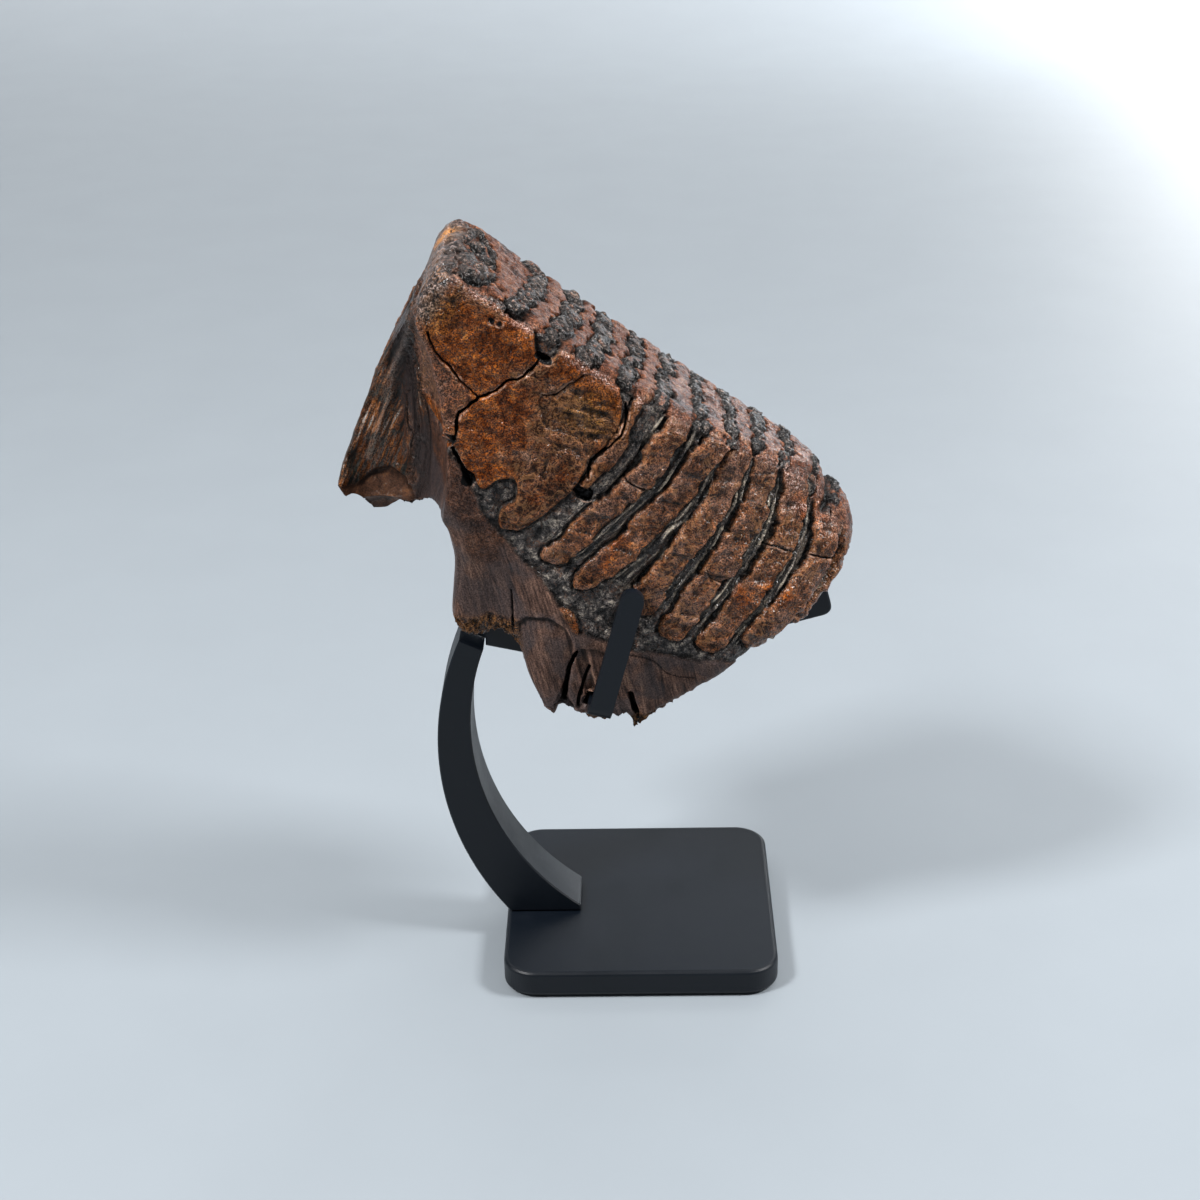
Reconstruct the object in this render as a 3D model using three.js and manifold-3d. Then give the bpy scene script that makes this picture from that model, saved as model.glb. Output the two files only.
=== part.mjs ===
// Fossil mammoth molar, shown crown up on a small steel stand with a bent upright and a three-point
// cradle. Millimetres, +Z up, +X to the right and +Y away from the front. The origin is the centre of
// the underside of the base.

import * as THREE from 'three';
import { mergeVertices } from 'three/addons/utils/BufferGeometryUtils.js';
import Module from 'manifold-3d';

const wasm = await Module();
wasm.setup();

// ---- driving dimensions ------------------------------------------------------------------------

// Base plate and the felt under it
const BASE_SIDE = 100;
const BASE_CORNER = 12;
const BASE_THICK = 10;
const BASE_EDGE = 1.5;
const PAD_THICK = 0.7;
const PAD_MARGIN = 2;
const SEAT_GAP = 0.1;
const PLATE_BOTTOM = PAD_THICK + SEAT_GAP;
const PLATE_TOP = PLATE_BOTTOM + BASE_THICK;

// Clearance between a piece and the neighbour it is welded, screwed or laid against
const GAP = 0.3;

// Upright: a 20 mm deep bar cut between two arcs, wide at the foot and slim at the top
const BAR_DEPTH = 20;
const BAR_EDGE = 0.5;
const OUTER_ARC = { x: 37.9, z: 79.9, r: 110.7 };
const INNER_ARC = { x: 33.1, z: 88.9, r: 93.5 };
const UPRIGHT_TOP_OUTER = 125.5;
const UPRIGHT_TOP_INNER = 121.5;
const ARC_STEPS = 22;
const TOE_X = -22.3;

// Screws that hold the upright from below
const SCREW_X = -39;
const SCREW_SPACING = 10;
const SCREW_R = 2.5;
const SCREW_LENGTH = 21;
const SCREW_POINT = 1;
const HEAD_R = 4.6;
const HEAD_RIM = 0.3;
const HEAD_HEIGHT = 2.6;
const SCREW_SIDES = 20;

// Cradle: a flat bar on edge, bent up at both ends, with one finger in front and one behind
const CRADLE_THICK = 4;
const CRADLE_HEIGHT = 14;
const CRADLE_KNEE = { x: -9, z: 108.8 };
const CRADLE_LEFT_X = -62;
const CRADLE_RIGHT_LENGTH = 82;
const CRADLE_LEFT_RISE = THREE.MathUtils.degToRad(13);
const CRADLE_RIGHT_RISE = THREE.MathUtils.degToRad(15.3);
const CRADLE_END_R = 4;
const FINGER_WIDTH = 8;
const FINGER_THICK = 3;
const FINGER_BEND_R = 4.5;
const FINGER_HEIGHT = 50.5;
const FINGER_LEAN = THREE.MathUtils.degToRad(15.2);
const FRONT_FINGER = { x: -13.6, z: 109.2, reach: 40.8 };
const REAR_FINGER = { x: -12.6, z: 109.4, reach: 39.2 };

// Tooth: outline seen from the front, clockwise from the left tip of the wing, as x and z
const TOOTH_OUTLINE = [
  [-103.5, 181.5], [-93.5, 206], [-80.5, 236.5], [-70, 253.5], [-63.5, 266], [-57, 268.5], [-48.5, 263],
  [-33, 251.5], [-6, 232.5], [25, 211.5], [55, 193.5], [62, 189], [66, 181.5], [71.5, 177],
  [74.5, 172], [76, 165], [74.5, 157], [70, 149.5], [56.5, 136], [41.5, 127.5], [28, 116.5],
  [14, 107], [6, 100], [-2, 94.5], [-3.5, 101.5], [-10.5, 98.5], [-17.5, 100], [-25, 105.5],
  [-31.5, 103], [-37, 114], [-41.5, 127], [-45.5, 133], [-57, 130.5], [-64, 137], [-63.5, 152],
  [-62.5, 166], [-67, 180.5], [-77, 175.5], [-86.5, 167], [-91, 166], [-95, 167.5], [-96.5, 176], [-102.3, 177.5],
];
const TOOTH_HEART = { x: 0, z: 205 };
const TOOTH_STATIONS = 108;
const FACE_RINGS = 7;
const EDGE_STEPS = 3;
const SIDE_RINGS = 2;

// Half thickness of the crown in front and behind, and the hills and hollows of the two faces
const CROWN_HALF_FRONT = 34;
const CROWN_HALF_BACK = 31;
const FRONT_HILLS = [
  { x: 5, z: 165, spreadX: 55, spreadZ: 35, height: 3 },
  { x: -54, z: 143, spreadX: 18, spreadZ: 28, height: -10 },
  { x: 8, z: 100, spreadX: 40, spreadZ: 22, height: -5 },
];
const BACK_HILLS = [
  { x: 0, z: 170, spreadX: 60, spreadZ: 38, height: 3 },
  { x: -50, z: 143, spreadX: 22, spreadZ: 28, height: -8 },
  { x: 0, z: 100, spreadX: 50, spreadZ: 22, height: -5 },
  { x: -100, z: 185, spreadX: 22, spreadZ: 50, height: -6 },
];

// The crown narrows to the right end, where the plates are least worn
const END_TAPER = { start: -20, length: 95, depth: 28, front: 22, back: 16 };

// Rounding of the outline: crisp along the chewing surface and the roots, full at the right end
const EDGE_R = 7;
const EDGE_SHARE = 0.8;
const END_ROUNDING = { x: 80, z: 160, spreadX: 28, spreadZ: 26, height: 15 };

// Chewing surface: a plane through CROWN_LINE that falls to the right
const CROWN_LINE = { x: 0, z: 225.5 };
const CROWN_FALL = THREE.MathUtils.degToRad(33.5);

// Broken left end: the open hollow in front of the wing, and the bite out of the root under it
const HOLLOW = { x: -91, y: -34, z: 208, radii: [29, 41, 62], tilt: 0 };
const BROKEN_ROOT = { x: -86, y: -6, z: 164, radii: [20, 16, 12], tilt: 0.2 };

// Cleft between the front and back roots, where the cradle bar sits. It widens downwards.
const CLEFT_MOUTH = 8;
const CLEFT_DROP = 34;
const CLEFT_FLARE_START = 2;
const CLEFT_LENGTH = 100;
const CLEFT_OVERLAP = 12;

const STEEL_BLACK = { color: 0x1e2328, roughness: 0.45, metalness: 0.3 };
const group = new THREE.Group();
group.name = 'fossil_mammoth_tooth_on_stand';

// ---- shared helpers ----------------------------------------------------------------------------

function addPiece(name, geometry, finish) {
  const mesh = new THREE.Mesh(geometry, new THREE.MeshStandardMaterial(finish));
  mesh.name = name;
  group.add(mesh);
  return mesh;
}

// Position-only geometry with shared corners, which is what a boolean needs
function closedGeometry(geometry) {
  const plain = geometry.clone();
  plain.deleteAttribute('normal');
  plain.deleteAttribute('uv');
  return mergeVertices(plain, 1e-4);
}

function toSolid(geometry, placement = new THREE.Matrix4()) {
  const closed = closedGeometry(geometry).applyMatrix4(placement);
  const vertProperties = new Float32Array(closed.attributes.position.array);
  const triVerts = new Uint32Array(closed.index.array);
  return new wasm.Manifold(new wasm.Mesh({ numProp: 3, vertProperties, triVerts }));
}

function toGeometry(solid) {
  const mesh = solid.getMesh();
  const geometry = new THREE.BufferGeometry();
  geometry.setAttribute('position', new THREE.BufferAttribute(mesh.vertProperties, 3));
  geometry.setIndex(new THREE.BufferAttribute(mesh.triVerts, 1));
  geometry.computeVertexNormals();
  return geometry;
}

function placed(x, y, z, rotation = new THREE.Euler(), scale = new THREE.Vector3(1, 1, 1)) {
  const turn = new THREE.Quaternion().setFromEuler(rotation);
  return new THREE.Matrix4().compose(new THREE.Vector3(x, y, z), turn, scale);
}

// Extrudes an outline drawn in x and z through a depth centred on y = 0
function extrudeAlongY(shape, depth, edge = 0) {
  const geometry = new THREE.ExtrudeGeometry(shape, {
    depth: depth - 2 * edge,
    bevelEnabled: edge > 0,
    bevelThickness: edge,
    bevelSize: edge,
    bevelOffset: -edge,
    bevelSegments: 1,
    curveSegments: 8,
  });
  geometry.translate(0, 0, edge - depth / 2);
  return geometry.rotateX(Math.PI / 2);
}

function roundedSquare(side, corner) {
  const half = side / 2;
  const shape = new THREE.Shape();
  shape.absarc(half - corner, half - corner, corner, 0, Math.PI / 2);
  shape.absarc(corner - half, half - corner, corner, Math.PI / 2, Math.PI);
  shape.absarc(corner - half, corner - half, corner, Math.PI, Math.PI * 1.5);
  shape.absarc(half - corner, corner - half, corner, Math.PI * 1.5, Math.PI * 2);
  return shape;
}

// ---- base plate, felt and screws ---------------------------------------------------------------

function screwProfile(grow) {
  const points = [
    [0, -grow],
    [HEAD_R + grow, -grow],
    [HEAD_R + grow, HEAD_RIM],
    [SCREW_R + grow, HEAD_HEIGHT + grow],
    [SCREW_R + grow, SCREW_LENGTH - SCREW_POINT + grow],
    [SCREW_R - SCREW_POINT + grow, SCREW_LENGTH + grow],
    [0, SCREW_LENGTH + grow],
  ];
  return points.map(([r, h]) => new THREE.Vector2(r, h));
}

function screwGeometry(grow) {
  return new THREE.LatheGeometry(screwProfile(grow), SCREW_SIDES).rotateX(Math.PI / 2);
}

const SCREW_SPOTS = [-SCREW_SPACING / 2, SCREW_SPACING / 2];

function cutScrewHoles(solid) {
  let result = solid;
  for (const y of SCREW_SPOTS) {
    result = result.subtract(toSolid(screwGeometry(GAP), placed(SCREW_X, y, PLATE_BOTTOM)));
  }
  return result;
}

function addBase() {
  const plate = new THREE.ExtrudeGeometry(roundedSquare(BASE_SIDE, BASE_CORNER), {
    depth: BASE_THICK - 2 * BASE_EDGE,
    bevelThickness: BASE_EDGE,
    bevelSize: BASE_EDGE,
    bevelOffset: -BASE_EDGE,
    bevelSegments: 3,
    curveSegments: 8,
  });
  const drilled = cutScrewHoles(toSolid(plate, placed(0, 0, PLATE_BOTTOM + BASE_EDGE)));
  addPiece('base_plate', toGeometry(drilled), STEEL_BLACK);

  const padShape = roundedSquare(BASE_SIDE - 2 * PAD_MARGIN, BASE_CORNER - PAD_MARGIN);
  const pad = new THREE.ExtrudeGeometry(padShape, {
    depth: PAD_THICK,
    bevelEnabled: false,
    curveSegments: 8,
  });
  addPiece('felt_pad', pad, { color: 0x16171a, roughness: 0.95, metalness: 0 });

  SCREW_SPOTS.forEach((y, index) => {
    const finish = { color: 0x9a9da1, roughness: 0.35, metalness: 1 };
    const screw = addPiece(`foot_screw_${index + 1}`, screwGeometry(0), finish);
    screw.position.set(SCREW_X, y, PLATE_BOTTOM);
  });
}

// ---- upright -----------------------------------------------------------------------------------

function arcX(arc, z) {
  return arc.x - Math.sqrt(arc.r ** 2 - (z - arc.z) ** 2);
}

function arcAngle(arc, z) {
  return Math.PI - Math.asin((z - arc.z) / arc.r);
}

function addUpright() {
  const foot = PLATE_TOP + GAP;
  const shape = new THREE.Shape();
  const outerFoot = arcAngle(OUTER_ARC, foot);
  const outerTop = arcAngle(OUTER_ARC, UPRIGHT_TOP_OUTER);
  const toe = INNER_ARC.z - Math.sqrt(INNER_ARC.r ** 2 - (TOE_X - INNER_ARC.x) ** 2);
  const innerTop = arcAngle(INNER_ARC, UPRIGHT_TOP_INNER);
  shape.absarc(OUTER_ARC.x, OUTER_ARC.z, OUTER_ARC.r, outerFoot, outerTop, true);
  shape.absarc(INNER_ARC.x, INNER_ARC.z, INNER_ARC.r, innerTop, arcAngle(INNER_ARC, toe), false);
  shape.lineTo(TOE_X, foot);
  const outline = new THREE.Shape(shape.getPoints(ARC_STEPS));
  const bar = toSolid(extrudeAlongY(outline, BAR_DEPTH, BAR_EDGE));
  addPiece('upright', toGeometry(cutScrewHoles(bar)), STEEL_BLACK);
}

// ---- cradle ------------------------------------------------------------------------------------

// Point on the cradle bar, from the knee along one arm and up from its lower edge
function cradlePoint(side, along, up) {
  const rise = side < 0 ? CRADLE_LEFT_RISE : CRADLE_RIGHT_RISE;
  const x = CRADLE_KNEE.x + side * (along * Math.cos(rise) - up * Math.sin(rise));
  const z = CRADLE_KNEE.z + along * Math.sin(rise) + up * Math.cos(rise);
  return new THREE.Vector2(x, z);
}

function addCradleBar() {
  const h = CRADLE_HEIGHT;
  const bend = CRADLE_LEFT_RISE + CRADLE_RIGHT_RISE;
  const end = CRADLE_RIGHT_LENGTH;
  const r = CRADLE_END_R;
  const leftLength = (CRADLE_KNEE.x - CRADLE_LEFT_X) / Math.cos(CRADLE_LEFT_RISE);
  const heel = arcX(INNER_ARC, UPRIGHT_TOP_INNER) + GAP;
  const topFall = (UPRIGHT_TOP_OUTER - UPRIGHT_TOP_INNER)
    / (arcX(INNER_ARC, UPRIGHT_TOP_INNER) - arcX(OUTER_ARC, UPRIGHT_TOP_OUTER));
  const seat = (x) => UPRIGHT_TOP_INNER + 2 * GAP - topFall * (x - heel);
  const heelBottom = cradlePoint(-1, (CRADLE_KNEE.x - heel) / Math.cos(CRADLE_LEFT_RISE), 0);
  const kneeTop = cradlePoint(1, h * Math.tan(bend / 2), h);

  const shape = new THREE.Shape();
  shape.moveTo(CRADLE_LEFT_X, seat(CRADLE_LEFT_X));
  shape.lineTo(heel, seat(heel));
  shape.lineTo(heelBottom.x, heelBottom.y);
  shape.lineTo(CRADLE_KNEE.x, CRADLE_KNEE.z);
  const lowerStart = cradlePoint(1, end - r, 0);
  const lowerCorner = cradlePoint(1, end, 0);
  const lowerEnd = cradlePoint(1, end, r);
  const upperStart = cradlePoint(1, end, h - r);
  const upperCorner = cradlePoint(1, end, h);
  const upperEnd = cradlePoint(1, end - r, h);
  shape.lineTo(lowerStart.x, lowerStart.y);
  shape.quadraticCurveTo(lowerCorner.x, lowerCorner.y, lowerEnd.x, lowerEnd.y);
  shape.lineTo(upperStart.x, upperStart.y);
  shape.quadraticCurveTo(upperCorner.x, upperCorner.y, upperEnd.x, upperEnd.y);
  shape.lineTo(kneeTop.x, kneeTop.y);
  const leftTop = cradlePoint(-1, leftLength, h);
  shape.lineTo(leftTop.x, leftTop.y);
  addPiece('cradle_bar', extrudeAlongY(shape, CRADLE_THICK, BAR_EDGE), STEEL_BLACK);
}

// Strip with a foot that runs in to the cradle bar and a leg with a round tip. Local z is up the
// leg, and side is -1 for the front of the stand and 1 for the back.
function fingerSolid(spot, side, grow) {
  const outer = FINGER_BEND_R;
  const inner = FINGER_BEND_R - FINGER_THICK;
  const reach = spot.reach;
  const root = CRADLE_THICK / 2 + GAP;
  const section = new THREE.Shape();
  section.moveTo(root, -grow);
  section.lineTo(reach - outer, -grow);
  section.absarc(reach - outer, outer, outer + grow, -Math.PI / 2, 0, false);
  section.lineTo(reach + grow, FINGER_HEIGHT + grow);
  section.lineTo(reach - FINGER_THICK - grow, FINGER_HEIGHT + grow);
  if (inner > grow) {
    section.absarc(reach - outer, outer, inner - grow, 0, -Math.PI / 2, true);
  } else {
    section.lineTo(reach - FINGER_THICK - grow, FINGER_THICK + grow);
  }
  section.lineTo(root, FINGER_THICK + grow);
  const width = FINGER_WIDTH + 2 * grow;
  const strip = new THREE.ExtrudeGeometry(section, {
    depth: width,
    bevelEnabled: false,
    curveSegments: 6,
  });
  strip.translate(0, 0, -width / 2).rotateX(Math.PI / 2).rotateZ(side * Math.PI / 2);

  const r = width / 2;
  const face = new THREE.Shape();
  face.moveTo(-r, -outer);
  face.lineTo(r, -outer);
  face.absarc(0, FINGER_HEIGHT + grow - r, r, 0, Math.PI, false);
  const pastBothSides = 3 * reach;
  const rounded = extrudeAlongY(face, pastBothSides);
  return toSolid(strip).intersect(toSolid(rounded));
}

function addFinger(name, spot, side) {
  const finger = addPiece(name, toGeometry(fingerSolid(spot, side, 0)), STEEL_BLACK);
  finger.position.set(spot.x, 0, spot.z);
  finger.rotation.y = FINGER_LEAN;
}

// ---- tooth -------------------------------------------------------------------------------------

// Distances along the chewing surface, to the right, and down from it
function crownCoordinates(x, z) {
  const dx = x - CROWN_LINE.x;
  const dz = z - CROWN_LINE.z;
  const along = dx * Math.cos(CROWN_FALL) - dz * Math.sin(CROWN_FALL);
  const below = -dx * Math.sin(CROWN_FALL) - dz * Math.cos(CROWN_FALL);
  return { along, below };
}

function hill(spot, x, z) {
  const away = ((x - spot.x) / spot.spreadX) ** 2 + ((z - spot.z) / spot.spreadZ) ** 2;
  return spot.height * Math.exp(-away);
}

function endTaper(x, z) {
  const { along, below } = crownCoordinates(x, z);
  const progress = Math.max(0, along - END_TAPER.start) / END_TAPER.length;
  return Math.min(progress, 1) ** 2 / (1 + (below / END_TAPER.depth) ** 2);
}

function frontHalf(x, z) {
  const hills = FRONT_HILLS.reduce((sum, spot) => sum + hill(spot, x, z), 0);
  return CROWN_HALF_FRONT + hills - END_TAPER.front * endTaper(x, z);
}

function backHalf(x, z) {
  const hills = BACK_HILLS.reduce((sum, spot) => sum + hill(spot, x, z), 0);
  return CROWN_HALF_BACK + hills - END_TAPER.back * endTaper(x, z);
}

function edgeRadius(x, z) {
  return EDGE_R + hill(END_ROUNDING, x, z);
}

// Each ring of the surface, from the middle of the back face over the edge to the front face:
// spread is the share of the way out to the edge, turn the angle round the edge, side which face
function toothRings() {
  const rings = [];
  for (let i = 0; i <= FACE_RINGS; i += 1) {
    rings.push({ spread: i / FACE_RINGS, turn: 0, side: 1 });
  }
  for (let i = 1; i <= EDGE_STEPS; i += 1) {
    rings.push({ spread: 1, turn: (Math.PI / 2) * (i / EDGE_STEPS), side: 1 });
  }
  for (let i = 1; i < SIDE_RINGS; i += 1) {
    rings.push({ spread: 1, turn: Math.PI / 2, side: 1 - (2 * i) / SIDE_RINGS });
  }
  const mirrored = rings.slice(0, FACE_RINGS + EDGE_STEPS + 1).reverse();
  return rings.concat(mirrored.map((ring) => ({ ...ring, side: -1 })));
}

function toothStations() {
  const points = TOOTH_OUTLINE.map(([x, z]) => new THREE.Vector3(x, 0, z));
  const curve = new THREE.CatmullRomCurve3(points, true, 'centripetal');
  const stations = curve.getSpacedPoints(TOOTH_STATIONS);
  return stations.map((point, index) => {
    const ahead = stations[(index + 1) % TOOTH_STATIONS];
    const behind = stations[(index + TOOTH_STATIONS - 1) % TOOTH_STATIONS];
    const tangent = ahead.clone().sub(behind).normalize();
    return { x: point.x, z: point.z, inX: tangent.z, inZ: -tangent.x };
  });
}

function toothSurfacePoint(station, ring) {
  const thinner = Math.min(frontHalf(station.x, station.z), backHalf(station.x, station.z));
  const r = Math.min(edgeRadius(station.x, station.z), EDGE_SHARE * thinner);
  const inset = r * (1 - Math.sin(ring.turn));
  const rimX = station.x + inset * station.inX;
  const rimZ = station.z + inset * station.inZ;
  const x = THREE.MathUtils.lerp(TOOTH_HEART.x, rimX, ring.spread);
  const z = THREE.MathUtils.lerp(TOOTH_HEART.z, rimZ, ring.spread);
  const back = backHalf(x, z) - r * (1 - Math.cos(ring.turn));
  const front = frontHalf(x, z) - r * (1 - Math.cos(ring.turn));
  const y = THREE.MathUtils.lerp(-front, back, (ring.side + 1) / 2);
  return [x, y, z];
}

function toothBody() {
  const rings = toothRings();
  const stations = toothStations();
  const surface = new THREE.SphereGeometry(1, TOOTH_STATIONS, rings.length - 1);
  const position = surface.attributes.position;
  const perRing = TOOTH_STATIONS + 1;
  for (let i = 0; i < position.count; i += 1) {
    const ring = rings[Math.floor(i / perRing)];
    const station = stations[(i % perRing) % TOOTH_STATIONS];
    position.setXYZ(i, ...toothSurfacePoint(station, ring));
  }
  return toSolid(surface);
}

function ellipsoid({ x, y, z, radii, tilt }) {
  const geometry = new THREE.SphereGeometry(1, 24, 16);
  const rotation = new THREE.Euler(0, tilt, 0);
  return toSolid(geometry, placed(x, y, z, rotation, new THREE.Vector3(...radii)));
}

// Wedge of room for one arm of the cradle bar, from the knee outwards
function cleftWedge(side) {
  const rise = side < 0 ? CRADLE_LEFT_RISE : CRADLE_RIGHT_RISE;
  const top = CRADLE_HEIGHT + 2 * GAP;
  const narrow = CRADLE_THICK / 2 + 2 * GAP;
  const section = new THREE.Shape();
  section.moveTo(-narrow, top);
  section.lineTo(-narrow, CLEFT_FLARE_START);
  section.lineTo(-CLEFT_MOUTH, top - CLEFT_DROP);
  section.lineTo(CLEFT_MOUTH, top - CLEFT_DROP);
  section.lineTo(narrow, CLEFT_FLARE_START);
  section.lineTo(narrow, top);
  const wedge = new THREE.ExtrudeGeometry(section, {
    depth: CLEFT_LENGTH + CLEFT_OVERLAP,
    bevelEnabled: false,
  });
  wedge.translate(0, 0, -CLEFT_OVERLAP).rotateX(Math.PI / 2).rotateZ(side * Math.PI / 2);
  const turn = new THREE.Euler(0, -side * rise, 0);
  return toSolid(wedge, placed(CRADLE_KNEE.x, 0, CRADLE_KNEE.z, turn));
}

function addTooth() {
  let tooth = toothBody().subtract(ellipsoid(HOLLOW)).subtract(ellipsoid(BROKEN_ROOT));
  tooth = tooth.subtract(cleftWedge(-1)).subtract(cleftWedge(1));
  const lean = new THREE.Euler(0, FINGER_LEAN, 0);
  for (const [spot, side] of [[FRONT_FINGER, -1], [REAR_FINGER, 1]]) {
    const room = fingerSolid(spot, side, 2 * GAP);
    tooth = tooth.subtract(room.transform(placed(spot.x, 0, spot.z, lean).elements));
  }
  addPiece('tooth', toGeometry(tooth), { color: 0x6b3f2a, roughness: 0.5, metalness: 0 });
}

addBase();
addUpright();
addCradleBar();
addFinger('front_finger', FRONT_FINGER, -1);
addFinger('rear_finger', REAR_FINGER, 1);
addTooth();

export default group;
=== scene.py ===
"""Fossil mammoth molar on a small black steel display stand.

The CAD frame gives the size and place of every piece. The tooth gets its ridges, grooves, cracks,
worn chewing surface, hollow end and broken roots here, and every piece gets its finish.
Shapes are worked out in millimetres and turned into metres when a mesh is made.
"""

import itertools
import math

import bpy
import numpy as np
from mathutils import Matrix, Vector


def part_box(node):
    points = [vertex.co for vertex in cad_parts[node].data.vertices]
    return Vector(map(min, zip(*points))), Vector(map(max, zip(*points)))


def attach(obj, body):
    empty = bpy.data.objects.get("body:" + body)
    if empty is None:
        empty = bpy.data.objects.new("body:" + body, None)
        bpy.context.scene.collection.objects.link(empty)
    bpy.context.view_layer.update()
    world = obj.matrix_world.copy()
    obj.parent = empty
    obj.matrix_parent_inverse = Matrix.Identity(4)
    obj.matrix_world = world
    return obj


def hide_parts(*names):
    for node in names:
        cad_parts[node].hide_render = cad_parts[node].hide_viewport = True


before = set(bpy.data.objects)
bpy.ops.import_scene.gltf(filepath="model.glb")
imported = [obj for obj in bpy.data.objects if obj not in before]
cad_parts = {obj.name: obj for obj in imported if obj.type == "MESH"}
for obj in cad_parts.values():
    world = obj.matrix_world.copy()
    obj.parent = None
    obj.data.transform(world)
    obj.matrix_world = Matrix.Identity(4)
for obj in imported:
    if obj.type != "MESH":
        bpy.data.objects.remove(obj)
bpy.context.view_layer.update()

MM = 0.001

# ---- tooth: its own coordinates ------------------------------------------------------------------
# A place on the tooth is given by how far it lies along the chewing surface, to the right, how far
# below the chewing surface it is, and how far across the tooth (y, negative at the front). All
# sizes up to the stage are in millimetres.

CROWN_HEIGHT = 225.5
CROWN_FALL = math.radians(33.5)
CROWN_UP = np.array([math.sin(CROWN_FALL), 0, math.cos(CROWN_FALL)])

# Plates from the left end to the right: place along the tooth at the chewing surface, at the belly
# of the crown and at the foot of the crown
PLATES = np.array([
    (-66, -66, -70), (-52, -54, -60), (-35, -38, -46), (-20, -22, -32), (-8, -8, -16),
    (3, 5, -2), (18.5, 18.5, 7.5), (33, 33, 22), (44, 46, 43), (54, 59.5, 58),
    (65, 74.5, 72), (77.5, 89.5, 84), (90, 102, 97),
])
BELLY_BELOW = 20
FOOT_BELOW = 65
PLATE_PITCH = 13

# Smooth ridges of cement: plate number, half width, upper and lower end below the chewing surface
FRONT_RIDGES = [
    (5, 2.4, 1, 36), (6, 4.9, -9, 62), (7, 4.7, -9, 64), (8, 5.2, -9, 61), (9, 5.0, -9, 64),
    (10, 5.2, -9, 61), (11, 5.1, -9, 54), (12, 4.6, -6, 44),
]
BACK_RIDGES = [
    (5, 4.0, -9, 44), (6, 4.8, -9, 58), (7, 5.2, -9, 66), (8, 4.7, -9, 60), (9, 5.2, -9, 66),
    (10, 4.8, -9, 58), (11, 5.2, -9, 56), (12, 4.8, -6, 46),
]

# Broad smooth patches of cement, as outlines in along and below
FRONT_PATCHES = [
    [(-82, -4), (-70, -6), (-61, -5), (-57, -9), (-44, -9), (-39, -3), (-36, 3), (-33, 6),
     (-30, 6), (-28, 3), (-26, -9), (-7, -9), (-5, 0), (-1, 5), (2, 11), (3, 16), (2, 22), (0, 27),
     (1, 32), (1, 38), (0, 44), (-3, 53), (-6, 61), (-12, 64), (-15, 58), (-13, 51), (-17, 46),
     (-22, 50), (-24, 55), (-29, 53), (-35, 50), (-40, 47), (-46, 49), (-53, 48), (-60, 42),
     (-67, 35), (-74, 24), (-80, 14)],
    [(2, 80), (3, 76), (8, 74), (12, 77), (12, 83), (6, 85)],
    [(19, 80), (23, 77), (29, 80), (31, 85), (24, 85)],
]
BACK_PATCHES = [
    [(-82, -4), (-62, -9), (-6, -9), (-3, 5), (-5, 20), (-3, 36), (-10, 50), (-24, 60), (-38, 56),
     (-52, 58), (-66, 60), (-84, 40)],
]

# Lobes of the front patches that lie higher or lower than the rest: outline, height
FRONT_LOBES = [
    ([(-25, 17), (-22, 12), (-19, 6), (-16, 2), (-9, -1), (-3, 3), (3, 12), (5, 20), (0, 26),
      (-5, 24), (-10, 23), (-17, 25), (-23, 21)], -0.8),
    ([(-10, 38), (-11, 32), (-9, 28), (-4, 28), (1, 30), (3, 36), (-2, 42), (-7, 42)], 0.7),
    ([(-15, 55), (-16, 46), (-14, 41), (-8, 40), (-3, 42), (-4, 52), (-8, 60)], 0.7),
    ([(-84, 8), (-76, 12), (-66, 20), (-56, 25), (-46, 27), (-43, 33), (-45, 42), (-60, 44),
      (-80, 30)], -0.6),
]

# Cracks: outline in along and below, half width, depth
FRONT_CRACKS = [
    ([(-42, 28), (-40, 25), (-38, 22), (-37, 18), (-34, 15), (-33, 12), (-32, 7)], 0.42, 2.4),
    ([(-42, 28), (-46, 27), (-51, 26), (-55, 24), (-59, 23), (-63, 21), (-67, 18)], 0.30, 1.8),
    ([(-42, 28), (-43, 32), (-44, 37), (-42, 42), (-41, 47), (-37, 50)], 0.55, 2.6),
    ([(-37, 50), (-32, 53), (-28, 56)], 0.7, 2.4),
    ([(-17, 3), (-18, 6), (-20, 10), (-21, 14), (-25, 16)], 0.18, 0.7),
    ([(0, 4), (3, 9), (4, 14), (3, 20), (1, 27), (3, 32)], 0.35, 2.0),
    ([(13, 26), (17, 27), (22, 26)], 0.22, 0.9),
    ([(68, 24), (74, 23), (79, 22)], 0.25, 1.0),
    ([(85, 20), (90, 19), (97, 17)], 0.25, 1.0),
    ([(55, 40), (59, 42), (63, 41)], 0.18, 0.6),
    ([(4, 84), (8, 90), (12, 96)], 0.35, 1.4),
    ([(42, 110), (38, 101), (36, 97), (35, 91)], 0.8, 2.4),
    ([(47, 109), (44, 101), (42, 93)], 0.6, 2.0),
    ([(51, 81), (59, 79), (67, 81), (76, 78)], 0.12, 0.5),
    ([(60, 95), (65, 100), (71, 107)], 1.0, 3.6),
]
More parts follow.
